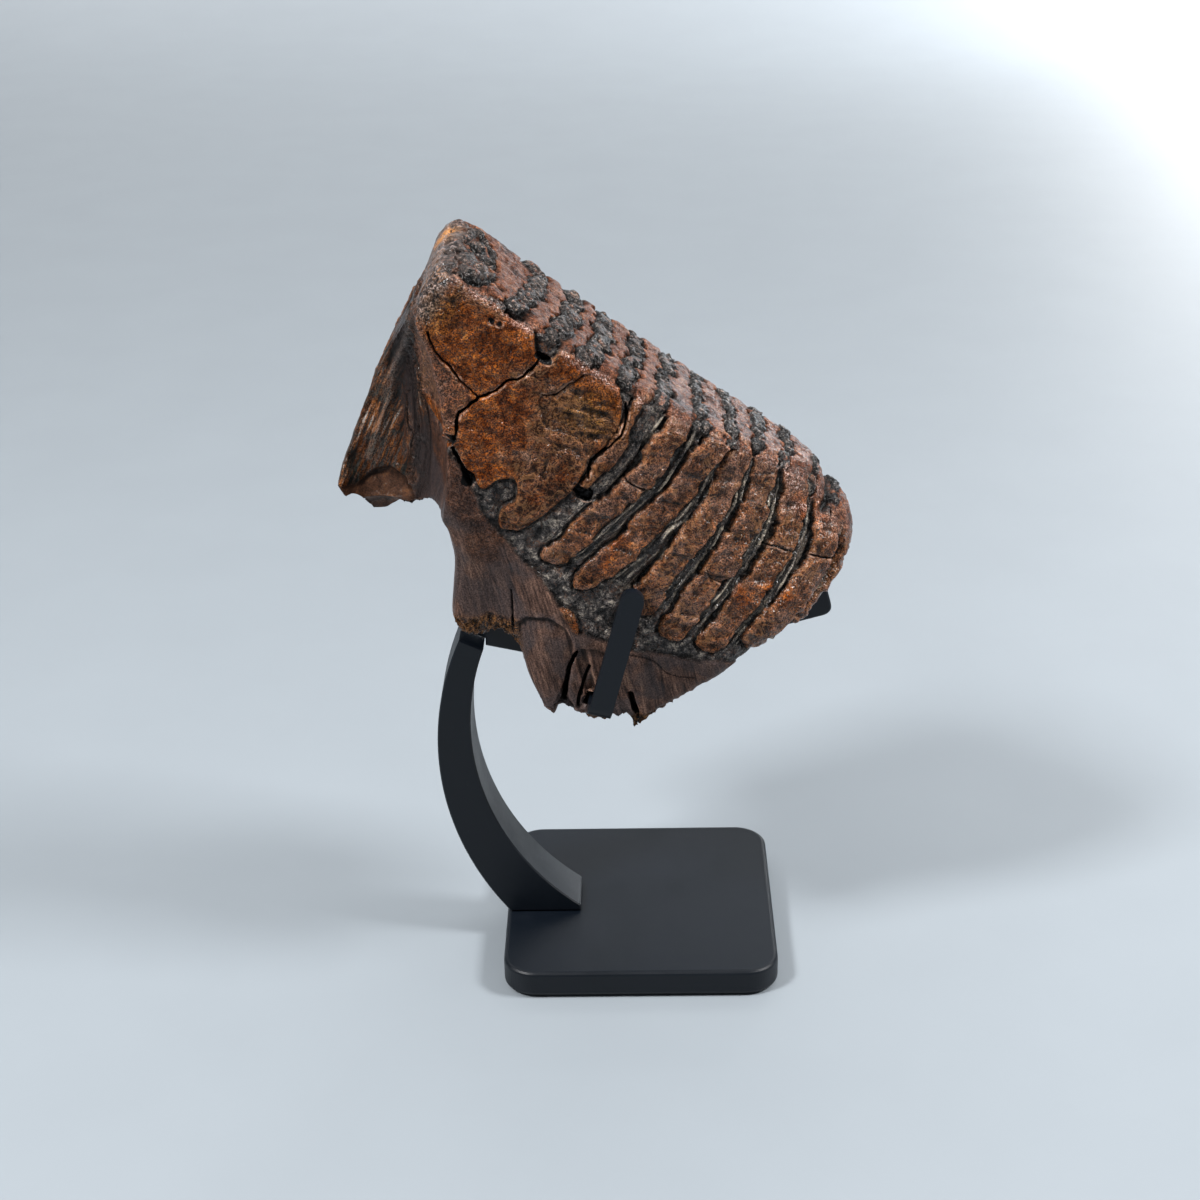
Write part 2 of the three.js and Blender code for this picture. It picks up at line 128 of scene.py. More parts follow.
BACK_CRACKS = [
    ([(-75, 24), (-62, 29), (-50, 27), (-36, 30), (-27, 24), (-21, 12), (-25, 1)], 0.5, 2.4),
    ([(-36, 30), (-41, 37), (-46, 44), (-51, 58)], 0.6, 2.4),
    ([(-27, 24), (-16, 27), (-4, 24)], 0.35, 1.2),
    ([(-50, 27), (-53, 14), (-50, 0)], 0.35, 1.4),
    ([(-24, 60), (-22, 48), (-13, 41), (-4, 38)], 0.4, 1.4),
    ([(14, 34), (18, 35), (22, 33)], 0.35, 1.2),
    ([(41, 22), (46, 23), (51, 21)], 0.35, 1.2),
    ([(68, 40), (73, 41), (78, 39)], 0.35, 1.2),
    ([(20, 108), (18, 98), (22, 88)], 1.4, 2.6),
    ([(50, 104), (46, 94), (48, 86)], 1.2, 2.4),
    ([(60, 95), (65, 100), (71, 107)], 1.0, 3.6),
]

# Deep black holes: centre along and below, radii, depth
FRONT_PITS = [
    (-31, 5.5, 3.4, 1.5, 2.0), (-42, 46, 2.0, 2.6, 3.0), (-30, 55, 2.6, 3.0, 3.0),
    (4, 38, 4.6, 2.4, 2.6), (-52, 3.5, 1.1, 1.0, 0.7), (-49, 3, 0.7, 0.7, 0.4),
]
BACK_PITS = [(-36, 31, 2.6, 2.2, 2.8), (-20, 12, 2.4, 2.0, 2.6), (-12, 52, 3.0, 2.2, 2.4)]

# Front and back of the crown, each with the first seed of its noise, and the chewing surface's seed
SIDES = [
    (FRONT_RIDGES, FRONT_PATCHES, FRONT_LOBES, FRONT_CRACKS, FRONT_PITS, 100),
    (BACK_RIDGES, BACK_PATCHES, [], BACK_CRACKS, BACK_PITS, 200),
]
CHEW_SEED = 300

# Flat-fronted pillar of the front root, and the torn slivers beside it: outlines in along and below
ROOT_PILLAR = [(12, 94), (16, 87), (24, 84), (31, 87), (35, 93), (39, 103), (43, 116), (10, 120)]
ROOT_SLIVERS = [(34, 91), (36, 87), (41, 85), (47, 87), (49, 96), (47, 114), (40, 114), (37, 100)]

# Rusty skin on the roots, below the cracked patch and beside the charcoal: outlines in along and
# below
RUSTY_SKIN = [
    [(-66, 40), (-50, 48), (-37, 50), (-31, 54), (-20, 61), (-8, 65), (-10, 70), (-22, 70),
     (-34, 65), (-46, 60), (-60, 56)],
    [(-19, 70), (-12, 69), (-7, 73), (-8, 79), (-14, 80), (-19, 76)],
]

# Hollow at the left end: its edge as below and along, the raised rib inside it and the top of the
# broken face at its foot as x and z, and how far its streaks lean
HOLLOW_EDGE = [(0, -80), (18, -73), (35, -64), (46, -55), (58, -45), (75, -36)]
HOLLOW_RIB = [(-73, 246), (-76, 236), (-81, 224), (-86, 206), (-92, 190)]
BROKEN_FACE = [(-97, 181), (-91, 185.5), (-85.5, 187), (-80, 184.5), (-77, 178), (-75.5, 170)]
STREAK_LEAN = math.radians(24)

# Foot of the crown, where the roots begin: along, below
FRONT_ROOT_LINE = [(-90, 22), (-78, 24), (-70, 36), (-60, 45), (-50, 50), (-37, 51), (-31, 55),
                   (-20, 63), (-11, 66), (10, 73), (31, 84), (51, 79), (74, 70), (100, 60)]
BACK_ROOT_LINE = [(-90, 62), (-40, 64), (-11, 66), (10, 73), (31, 84), (51, 79), (74, 70),
                  (100, 60)]

# Worn plates on the chewing surface: place along the tooth at the front edge, in the middle and at
# the back edge, and half width
LOOPS = [
    (-48, -41, -43, 4.7), (-32, -26, -27, 4.5), (-19, -14, -15, 4.2), (-4, -1, 0, 3.6),
    (9, 12, 14, 3.4), (27, 26, 26, 3.2), (40, 38, 37, 3.0), (50, 49, 49, 2.8),
    (60, 60, 62, 2.6), (72, 73, 75, 2.4), (85, 84, 84, 2.2),
]

# Worn-down left end of the chewing surface: outline in along and y, the pits in it (start, end,
# half width) and the ledge in front of it
WORN_END = [(-80, -12), (-76, -24), (-70, -30), (-62, -30), (-57, -22), (-56, -8), (-57, 6),
            (-62, 18), (-68, 24), (-76, 18), (-80, 4)]
WORN_PITS = [((-68, -1), (-63, -9), 1.5), ((-63, 10), (-59, 0), 1.4), ((-72, 14), (-69, 8), 0.9)]
WORN_LEDGE = [(-72, -31), (-67, -28), (-62, -28), (-57, -19), (-53, -21)]

# Cleft across the right end of the chewing surface, in along and y
END_CLEFT = [(83, -36), (82, -12), (80, 8), (78, 30)]

# A worn plate is a row of lumps across the tooth, at these places in y. Its line is given at the
# front edge, the middle and the back edge, which are this far apart
LUMP_SPOTS = np.arange(-36, 30, 6)
EDGE_OUT = 30

# How far the relief lies below the CAD surface on the sides, the chewing surface, the roots, the
# hollow and the broken face
SIDE_SINK, CHEW_SINK, ROOT_SINK, HOLLOW_SINK, FACE_SINK = 1.9, 0.3, 0.7, 0.6, 1.8

# Where the root tips and the foot of the rear root turn spongy and are torn: from none to full, in
# z and for the rear root also in x
TIPS_SPONGY, REAR_SPONGY, REAR_SPONGY_X = (105, 101), (144, 140), (-39, -43)
TIPS_TORN, REAR_TORN, REAR_TORN_X = (110, 102), (142, 136), (-38, -41)

# The upright fingers that hold the tooth, and the gap the tooth keeps from them
FINGER_THICK = 3
FINGER_WIDTH = 8
FINGER_LEAN = math.radians(15.2)
FINGER_GAP = 0.45

# Fine mesh of the tooth: size of the even mesh it starts from, edge lengths, rounds of smoothing
# before and after the edges are split, heights between which the smoothing fades out towards the
# thin root ends, rounds that measure how deep a dip is, and most triangles
VOXEL = 1.1
FRONT_EDGE, BACK_EDGE, CHEW_EDGE, CRACK_EDGE = 0.62, 1.2, 0.52, 0.34
FIRST_ROUNDS, LAST_ROUNDS = 12, 3
SMOOTH_FROM, SMOOTH_ABOVE = 102, 125
DIP_ROUNDS = 5
MESH_LIMIT = 195000

# Points on each stretch of a smooth line, how far from a crack its depth is worked out, and a
# distance that is as good as any longer one
LINE_STEPS = 4
CRACK_REACH = 3
FAR = 9.0

# The triangles that replace one with no, one, two or three split edges: 0 to 2 are its corners, and
# 3 to 5 the middles of the edges that start at them
SPLITS = [
    [(0, 1, 2)],
    [(0, 3, 2), (3, 1, 2)],
    [(3, 1, 4), (0, 3, 4), (0, 4, 2)],
    [(0, 3, 5), (3, 1, 4), (5, 4, 2), (3, 4, 5)],
]

# ---- stage: metres and watts ---------------------------------------------------------------------

TOOTH_MIDDLE = (0, 0, 0.15)
# Lights: name, place, what it points at, width, height, power
LIGHTS = [
    ("top_softbox", (0, 1.2, 2.5), (0, 1.2, 0), 4.6, 3.4, 76),
    ("left_softbox", (-0.85, -0.5, 1.25), TOOTH_MIDDLE, 0.26, 0.26, 25),
    ("right_softbox", (0.95, -0.2, 1.0), TOOTH_MIDDLE, 0.3, 0.3, 19),
    ("backdrop_strip", (0, 2.25, 0.6), (0, 2.35, 0), 2.6, 0.3, 13),
    ("backdrop_glow", (0.9, 2.1, 0.55), (0.9, 2.15, 0), 0.3, 0.3, 26),
]

# Camera, fitted to the edges of the base: place, direction, roll, and lens in millimetres
CAMERA_PLACE = (-0.0004, -0.6893, 0.4645)
CAMERA_FORWARD = (-0.01638, 0.9025, -0.4303)
CAMERA_ROLL = math.radians(-1.18)
CAMERA_LENS = 64.35

# Points along the curve of the backdrop
CURVE_POINTS = 25


# ---- numbers, noise and distances ----------------------------------------------------------------

def smoothstep(low, high, value):
    t = np.clip((value - low) / (high - low), 0, 1)
    return t * t * (3 - 2 * t)


def mix(a, b, share):
    return a + (b - a) * share


def hump(value, width):
    """1 where value is 0, falling off smoothly on both sides."""
    return np.exp(-(value / width) ** 2)


def stacked(*columns):
    return np.stack(np.broadcast_arrays(*columns), axis=1)


def cell_value(cells, seed):
    """A repeatable number from 0 to 1 for each whole-numbered cell."""
    x, y, z = (cells[:, i].astype(np.int64) for i in range(3))
    mixed = (x * 374761393 + y * 668265263 + z * 1442695041 + seed * 1013904223) & 0xFFFFFFFF
    mixed = ((mixed ^ (mixed >> 13)) * 1274126177) & 0xFFFFFFFF
    return ((mixed ^ (mixed >> 16)) & 0xFFFFFF) / 0xFFFFFF


def noise(points, size, seed):
    """Smooth random field from -1 to 1. size is how far apart its lumps are, for each axis."""
    scaled = points / np.asarray(size, float)
    cell = np.floor(scaled)
    fade = smoothstep(0, 1, scaled - cell)
    total = np.zeros(len(points))
    for corner in itertools.product((0, 1), repeat=3):
        share = np.prod(np.where(corner, fade, 1 - fade), axis=1)
        total += share * cell_value(cell + corner, seed)
    return 2 * total - 1


def fractal(points, size, seed, octaves=3):
    """Sum of noises, each half the size and half the strength of the one before."""
    parts = [noise(points, np.asarray(size) / 2 ** i, seed + i) / 2 ** i for i in range(octaves)]
    return sum(parts) / (2 - 2 ** (1 - octaves))


def smooth_line(corners, closed=False):
    """Smooth curve through the corners, as closely spaced points."""
    corners = np.array(corners, float)
    before, after = (corners[[-1]], corners[:2]) if closed else (corners[[0]], corners[[-1]])
    padded = np.concatenate([before, corners, after])
    points = []
    for a, b, c, d in zip(padded, padded[1:], padded[2:], padded[3:]):
        for t in np.arange(LINE_STEPS) / LINE_STEPS:
            points.append(0.5 * (2 * b + (c - a) * t + (2 * a - 5 * b + 4 * c - d) * t ** 2
                                 + (3 * b - a - 3 * c + d) * t ** 3))
    if not closed:
        points.append(corners[-1])
    return np.array(points)


def line_distance(places, line):
    """Distance to the nearest point of a line with straight stretches."""
    line = np.asarray(line, float)
    nearest = np.full(len(places), np.inf)
    for a, b in zip(line, line[1:]):
        span = b - a
        t = np.clip((places - a) @ span / max(span @ span, 1e-9), 0, 1)
        nearest = np.minimum(nearest, np.hypot(*(places - a - t[:, None] * span).T))
    return nearest


def outline_depth(places, outline):
    """How far each place lies inside a closed outline, negative outside."""
    ring = smooth_line(outline, closed=True)
    ring = np.concatenate([ring, ring[:1]])
    inside = np.zeros(len(places), bool)
    for (ax, az), (bx, bz) in zip(ring, ring[1:]):
        crosses = (az > places[:, 1]) != (bz > places[:, 1])
        reach = ax + (places[:, 1] - az) * (bx - ax) / ((bz - az) or 1e-9)
        inside ^= crosses & (places[:, 0] < reach)
    return np.where(inside, 1, -1) * line_distance(places, ring)


# ---- tooth: mesh tools ---------------------------------------------------------------------------

def mesh_arrays(mesh):
    """Points in millimetres and triangles of a mesh."""
    points = np.empty(len(mesh.vertices) * 3)
    mesh.vertices.foreach_get("co", points)
    mesh.calc_loop_triangles()
    triangles = np.empty(len(mesh.loop_triangles) * 3, np.int32)
    mesh.loop_triangles.foreach_get("vertices", triangles)
    return points.reshape(-1, 3) / MM, triangles.reshape(-1, 3).astype(np.int64)


def edge_list(triangles):
    """The mesh's edges, and for each triangle the number of each of its three edges."""
    corners = np.sort(np.concatenate([triangles[:, [0, 1]], triangles[:, [1, 2]],
                                      triangles[:, [2, 0]]]), axis=1)
    width = corners.max() + 1
    _, first, number = np.unique(corners[:, 0] * width + corners[:, 1], return_index=True,
                                 return_inverse=True)
    return corners[first], number.reshape(3, -1).T


def spread_to_neighbours(values, edges, count):
    """Mean of each point's neighbours."""
    share = np.bincount(edges.ravel(), minlength=count)
    columns = []
    for column in values.T:
        total = (np.bincount(edges[:, 0], column[edges[:, 1]], count)
                 + np.bincount(edges[:, 1], column[edges[:, 0]], count))
        columns.append(total / share)
    return np.stack(columns, axis=1)


def smoothed(points, triangles, rounds):
    """Evens a surface out without shrinking it: each round shrinks a little, then grows back.

    The thin root ends stay as they are.
    """
    edges, _ = edge_list(triangles)
    share = smoothstep(SMOOTH_FROM, SMOOTH_ABOVE, points[:, 2])
    for _ in range(rounds):
        for amount in (0.55, -0.57):
            change = spread_to_neighbours(points, edges, len(points)) - points
            points = points + amount * share[:, None] * change
    return points


def point_normals(points, triangles):
    a, b, c = (points[triangles[:, i]] for i in range(3))
    face = np.cross(b - a, c - a)
    normals = np.zeros_like(points)
    for i in range(3):
        for axis in range(3):
            normals[:, axis] += np.bincount(triangles[:, i], face[:, axis], len(points))
    return normals / np.maximum(np.linalg.norm(normals, axis=1, keepdims=True), 1e-12)


def refined(points, triangles, wanted):
    """Splits edges at their middles until none is much longer than wanted(points)."""
    for _ in range(6):
        edges, number = edge_list(triangles)
        middles = points[edges].mean(axis=1)
        lengths = np.linalg.norm(points[edges[:, 0]] - points[edges[:, 1]], axis=1)
        split = lengths > 1.45 * wanted(middles)
        if not split.any():
            break
        middle_of = np.full(len(edges), -1)
        middle_of[split] = len(points) + np.arange(split.sum())
        points = np.concatenate([points, middles[split]])
        triangles = split_triangles(triangles, middle_of[number])
    return points, triangles


def split_triangles(triangles, middles):
    """Replaces each triangle by one to four. middles names the new point on each edge, or is -1."""
    count = (middles >= 0).sum(axis=1)
    first = np.where(count == 1, np.argmax(middles >= 0, axis=1), 0)
    first = np.where(count == 2, (np.argmin(middles >= 0, axis=1) + 1) % 3, first)
    turn = (first[:, None] + np.arange(3)) % 3
    six = np.concatenate([np.take_along_axis(part, turn, axis=1) for part in (triangles, middles)],
                         axis=1)
    return np.concatenate([six[count == number][:, corners]
                           for number, pieces in enumerate(SPLITS) for corners in pieces])


def new_object(name, data):
    piece = bpy.data.objects.new(name, data)
    bpy.context.scene.collection.objects.link(piece)
    return piece


def wear(piece, material):
    piece.data.materials.clear()
    piece.data.materials.append(material)


def mesh_from_arrays(name, points, triangles):
    mesh = bpy.data.meshes.new(name)
    mesh.vertices.add(len(points))
    mesh.vertices.foreach_set("co", (points * MM).ravel())
    mesh.loops.add(triangles.size)
    mesh.loops.foreach_set("vertex_index", triangles.ravel().astype(np.int32))
    mesh.polygons.add(len(triangles))
    mesh.polygons.foreach_set("loop_start", np.arange(0, triangles.size, 3, dtype=np.int32))
    mesh.update()
    mesh.validate()
    return mesh


def with_modifier(mesh, kind, **settings):
    """The mesh as one modifier makes it, with the modifier applied."""
    helper = new_object("helper", mesh)
    modifier = helper.modifiers.new(kind, kind)
    for key, value in settings.items():
        setattr(modifier, key, value)
    shaped = helper.evaluated_get(bpy.context.evaluated_depsgraph_get())
    result = bpy.data.meshes.new_from_object(shaped)
    bpy.data.objects.remove(helper)
    return result


# ---- tooth: where each kind of surface is --------------------------------------------------------

def tooth_place(points):
    """Along and below, for points in millimetres."""
    dx, dz = points[:, 0], points[:, 2] - CROWN_HEIGHT
    along = dx * math.cos(CROWN_FALL) - dz * math.sin(CROWN_FALL)
    below = -dx * math.sin(CROWN_FALL) - dz * math.cos(CROWN_FALL)
    return along, below


def plate_centre(number, below):
    """Place along the tooth of the middle of a plate, which bows out at the belly of the crown."""
    top, belly, foot = PLATES[number]
    depth = np.maximum(below, 0)
    lean = np.maximum(below - BELLY_BELOW, 0) / (FOOT_BELOW - BELLY_BELOW)
    return top + (belly - top) * (1 - np.exp(-depth / 9)) + (foot - belly) * lean ** 1.15


def plate_number(along, below):
    """Runs evenly from plate to plate, and is whole in the middle of each."""
    centres = [plate_centre(i, below) for i in range(len(PLATES))]
    total = np.zeros(len(along))
    for left, right in zip(centres, centres[1:]):
        total += np.clip((along - left) / (right - left), 0, 1)
    past_ends = np.minimum(along - centres[0], 0) + np.maximum(along - centres[-1], 0)
    return total + past_ends / PLATE_PITCH


def blocks(below, length, seed):
    """Random level from -1 to 1 that changes abruptly every so often down a ridge."""
    place = below / length + 0.37 * seed
    whole = np.floor(place)
    cells = stacked(whole, 0, 0)
    share = smoothstep(0.94, 1, place - whole)
    return 2 * mix(cell_value(cells, seed), cell_value(cells + (1, 0, 0), seed), share) - 1


def crack_depth(places, cracks):
    """Distance to the edge of the nearest crack, and the depth that the cracks cut."""
    nearest = np.full(len(places), FAR)
    cut = np.zeros(len(places))
    for corners, half_width, depth in cracks:
        line = smooth_line(corners)
        low, high = line.min(axis=0) - CRACK_REACH, line.max(axis=0) + CRACK_REACH
        close = np.flatnonzero(((places > low) & (places < high)).all(axis=1))
        distance = line_distance(places[close], line)
        nearest[close] = np.minimum(nearest[close], distance - half_width)
        walls = 1 - smoothstep(0.25, 1.25, distance / half_width)
        lip = 0.25 * hump(distance, 1.1)
        cut[close] = np.maximum(cut[close], depth * walls + lip)
    return nearest, cut


def side_surface(points, places, plates, side):
    """Relief and masks of the front or back of the crown.

    island is the depth inside a ridge or patch of cement, negative in the grooves between them.
    tight is 1 on ridges and 0 on patches, and level is the height of a block or lobe.
    """
    ridges, patches, lobes, cracks, pits, seed = side
    along, below = places.T
    wobble = stacked(fractal(points, 7, seed, 4), fractal(points, 7, seed + 5, 4))
    chipped = stacked(noise(points, 2.3, seed + 8), noise(points, 2.3, seed + 9))
    wavy = places + 1.3 * wobble + 0.55 * chipped
    island, tight, level = np.full(len(points), -FAR), np.zeros(len(points)), np.zeros(len(points))

    def add(depth, is_tight, height):
        nonlocal island, tight, level
        nearer = depth > island
        tight = np.where(nearer, is_tight, tight)
        level = np.where(nearer, height, level)
        island = np.maximum(island, depth)

    for number, half_width, start, end in ridges:
        centre = plate_centre(number, below)
        length = 9 + 2.5 * (number % 3)
        askew = wavy[:, 1] + 0.3 * (along - centre)
        centre = centre + 0.8 * blocks(askew, length, seed + number)
        past_end = np.maximum(wavy[:, 1] - end, 0) + np.maximum(start - wavy[:, 1], 0)
        swell = half_width + 0.8 * blocks(askew, length, seed + 30 + number)
        add(swell - np.hypot(wavy[:, 0] - centre, past_end), 1,
            0.9 * blocks(askew, length, seed + 60 + number))
    for outline in patches:
        add(outline_depth(places + 0.8 * wobble, outline), 0, 0)
    for outline, height in lobes:
        inside = outline_depth(places + 0.8 * wobble, outline)
        level += height * smoothstep(-0.2, 0.3, inside) * (1 - tight)
    jagged = stacked(noise(points, 1.9, seed + 11), noise(points, 1.9, seed + 12))
    crack, cut = crack_depth(places + 0.5 * wobble + 0.35 * jagged, cracks)
    for centre_along, centre_below, wide, tall, depth in pits:
        gap = np.hypot((along - centre_along) / wide, (below - centre_below) / tall)
        gap += 0.45 * noise(points, 2.2, seed + 31)
        crack = np.minimum(crack, (gap - 1) * wide)
        cut = np.maximum(cut, depth * (1 - smoothstep(0.6, 1.15, gap)))

    shoulder = mix(1.1, 1.3, tight)
    rise = np.sqrt(1 - (1 - np.clip(island / shoulder, 0, 1)) ** 2)
    ripple_grain = points @ np.array([[0.97, 0, 0.24], [0, 1, 0], [-0.24, 0, 0.97]])
    rippled = np.exp(-((along + 9) ** 2 + (below - 14) ** 2) / 130)
    ripples = 1.7 * rippled * (0.5 - np.abs(noise(ripple_grain, (9, 9, 2.8), seed + 40)))
    fine_lumps = fractal(points, 2.6, seed + 45, 3)
    lumps = 0.5 * fractal(points, 9, seed + 41, 3) + mix(0.6, 0.85, tight) * fine_lumps
    smooth_relief = mix(1.6, 2.3, tight) * rise + mix(0.7, 0, tight) + lumps + ripples + level

    share = plates - np.floor(plates)
    grain = stacked(plates * 14, below, points[:, 1])
    wave = np.cos((plates * 6 + 0.7 * noise(grain, (20, 9, 9), seed + 51)) * 2 * np.pi)
    between = smoothstep(5.1, 5.7, plates) * smoothstep(63, 56, below)
    groove = smoothstep(-5.5, -2.8, island) * between
    frayed = smoothstep(-0.35, 0.25, noise(grain, (4, 7, 9), seed + 52))
    strand = (0.5 + 0.5 * wave) ** 2 * groove * frayed
    pebbles = 0.9 * fractal(points, 5.5, seed + 53, 2) + 0.9 * fractal(points, 2.4, seed + 57, 3)
    strings = 0.5 * fractal(grain, (1.3, 8, 8), seed + 63, 3)
    strings += 0.5 * fractal(points, 2.0, seed + 67, 3)
    to_next = smoothstep(0.45, 0.75, share)
    floor_relief = mix(pebbles + 0.4, strings + 1.3 * strand + 0.5 - 1.4 * to_next, groove)
    ditch = mix(0.5, mix(0.6, 1.3, to_next), tight) * hump(island + 0.5, 0.5)

    relief = mix(floor_relief - ditch, smooth_relief, smoothstep(-0.25, 0.3, island)) - cut
    return relief - SIDE_SINK, island, crack, strand, groove, tight


def lump_chain(points, place, line, half_width, seed):
    """Depth inside a worn plate: a chain of rounded lumps that runs across the tooth."""
    y = points[:, 1]
    front, middle, back = line
    bend = (front + back - 2 * middle) / 2
    depth = np.full(len(points), -FAR)
    rolls = cell_value(stacked(LUMP_SPOTS, 0, seed), seed)
    for spot, roll in zip(LUMP_SPOTS, rolls):
        centre_y = spot + 4 * (roll - 0.5)
        out = centre_y / EDGE_OUT
        centre = middle + (back - front) / 2 * out + bend * out ** 2
        centre += 2.6 * ((roll * 7) % 1 - 0.5)
        radius = half_width * (0.68 + 0.36 * ((roll * 13) % 1))
        depth = np.maximum(depth, radius - np.hypot(place - centre, 0.66 * (y - centre_y)))
    return depth


def chewing_surface(points, along):
    """Relief and masks of the worn chewing surface, where the plates stand up as crinkled lumps.

    loop is the depth inside a worn plate, negative in the cement between them.
    """
    y = points[:, 1]
    seed = CHEW_SEED
    crinkle = 0.9 * fractal(points, (5, 4, 5), seed, 3) + 0.35 * noise(points, 1.3, seed + 5)
    place = along + crinkle
    loop = np.full(len(points), -FAR)
    for index, (*line, half_width) in enumerate(LOOPS):
        loop = np.maximum(loop, lump_chain(points, place, line, half_width, seed + 10 + index))
    flat = stacked(place, y + crinkle)
    worn_end = outline_depth(flat, WORN_END)
    loop = np.maximum(loop, worn_end)
    end_grain = stacked(0.8 * along - 0.6 * y, 0.6 * along + 0.8 * y, 0)
    end_folds = np.abs(fractal(end_grain, (4.5, 10, 9), seed + 60, 2))
    loop -= smoothstep(0, 1, worn_end) * (worn_end + 1) * smoothstep(0.26, 0.10, end_folds)
    for start, end, half_width in WORN_PITS:
        loop = np.minimum(loop, line_distance(flat, (start, end)) - half_width)
    loop += 0.5 * noise(points, 1.5, seed + 15)
    ragged = np.abs(noise(points, (3.2, 3.6, 3.6), seed + 16))
    loop -= (1.7 * ragged - 0.35) * smoothstep(3.2, 1.0, loop)

    near_front = smoothstep(-24, -31, y)
    broken_edge = hump(loop + 0.3, 0.45) * smoothstep(-0.3, 0.1, noise(points, 4, seed + 30))
    cavity = near_front * hump(loop + 0.3, 1.3) * smoothstep(-0.2, 0.3, noise(points, 6, seed + 31))
    ledge = hump(line_distance(flat, WORN_LEDGE), 1.3)
    notch = smoothstep(17, 24, y) * hump(loop - 0.5, 1.5)
    cleft = 1.3 * hump(line_distance(flat, END_CLEFT), 1.5)
    gap = np.maximum.reduce([broken_edge, cavity, ledge, cleft])

    crumbs = fractal(points, 1.9, seed + 41, 3)
    lumps = fractal(points, 6, seed + 45, 3)
    rim = hump(loop - 0.4, 0.7)
    top = np.sqrt(1 - (1 - np.clip(loop / 0.6, 0, 1)) ** 2)
    sharp = np.abs(noise(points, 1.7, seed + 48))
    crumble = mix(0.35, 0.2, smoothstep(-0.5, 0.5, loop))
    relief = 0.5 * lumps + crumble * crumbs + 0.7 * top + rim * (0.3 - 1.1 * sharp)
    folds = np.abs(noise(stacked(along + 0.5 * y, y, 0), (3.0, 7, 5), seed + 50))
    relief += (0.3 - 1.3 * folds) * smoothstep(0.8, 1.8, loop)
    relief += smoothstep(0, 2, worn_end) * (2.6 * end_folds - 1.1)
    return relief - 1.8 * gap - 1.6 * notch, loop, np.clip(gap, 0, 1)


def fibre_relief(points, across, down, seed):
    """Long fibres that run down a root or along the hollow."""
    grain = stacked(across, down, points[:, 1])
    broad = noise(grain, (4.5, 34, 7), seed) + 0.6 * noise(grain, (2.0, 22, 4), seed + 1)
    fine = fractal(grain, (1.1, 12, 2), seed + 2, 2)
    return 0.65 * broad + 0.3 * fine


def hollow_share(points, normals):
    """1 in the hollow at the left end, where the tooth faces left and forward under its wing."""
    along, below = tooth_place(points)
    edge = np.interp(below, *zip(*HOLLOW_EDGE))
    return smoothstep(1.5, -1.5, along - edge) * smoothstep(0.35, 0.1, normals[:, 1])


def broken_share(points):
    """1 on the spongy ends of the roots and on the torn rims."""
    x, _, z = points.T
    wave = 2.6 * fractal(points, 5, 500, 2)
    rear = smoothstep(*REAR_SPONGY, z + wave) * smoothstep(*REAR_SPONGY_X, x)
    return np.maximum(rear, smoothstep(*TIPS_SPONGY, z + wave))


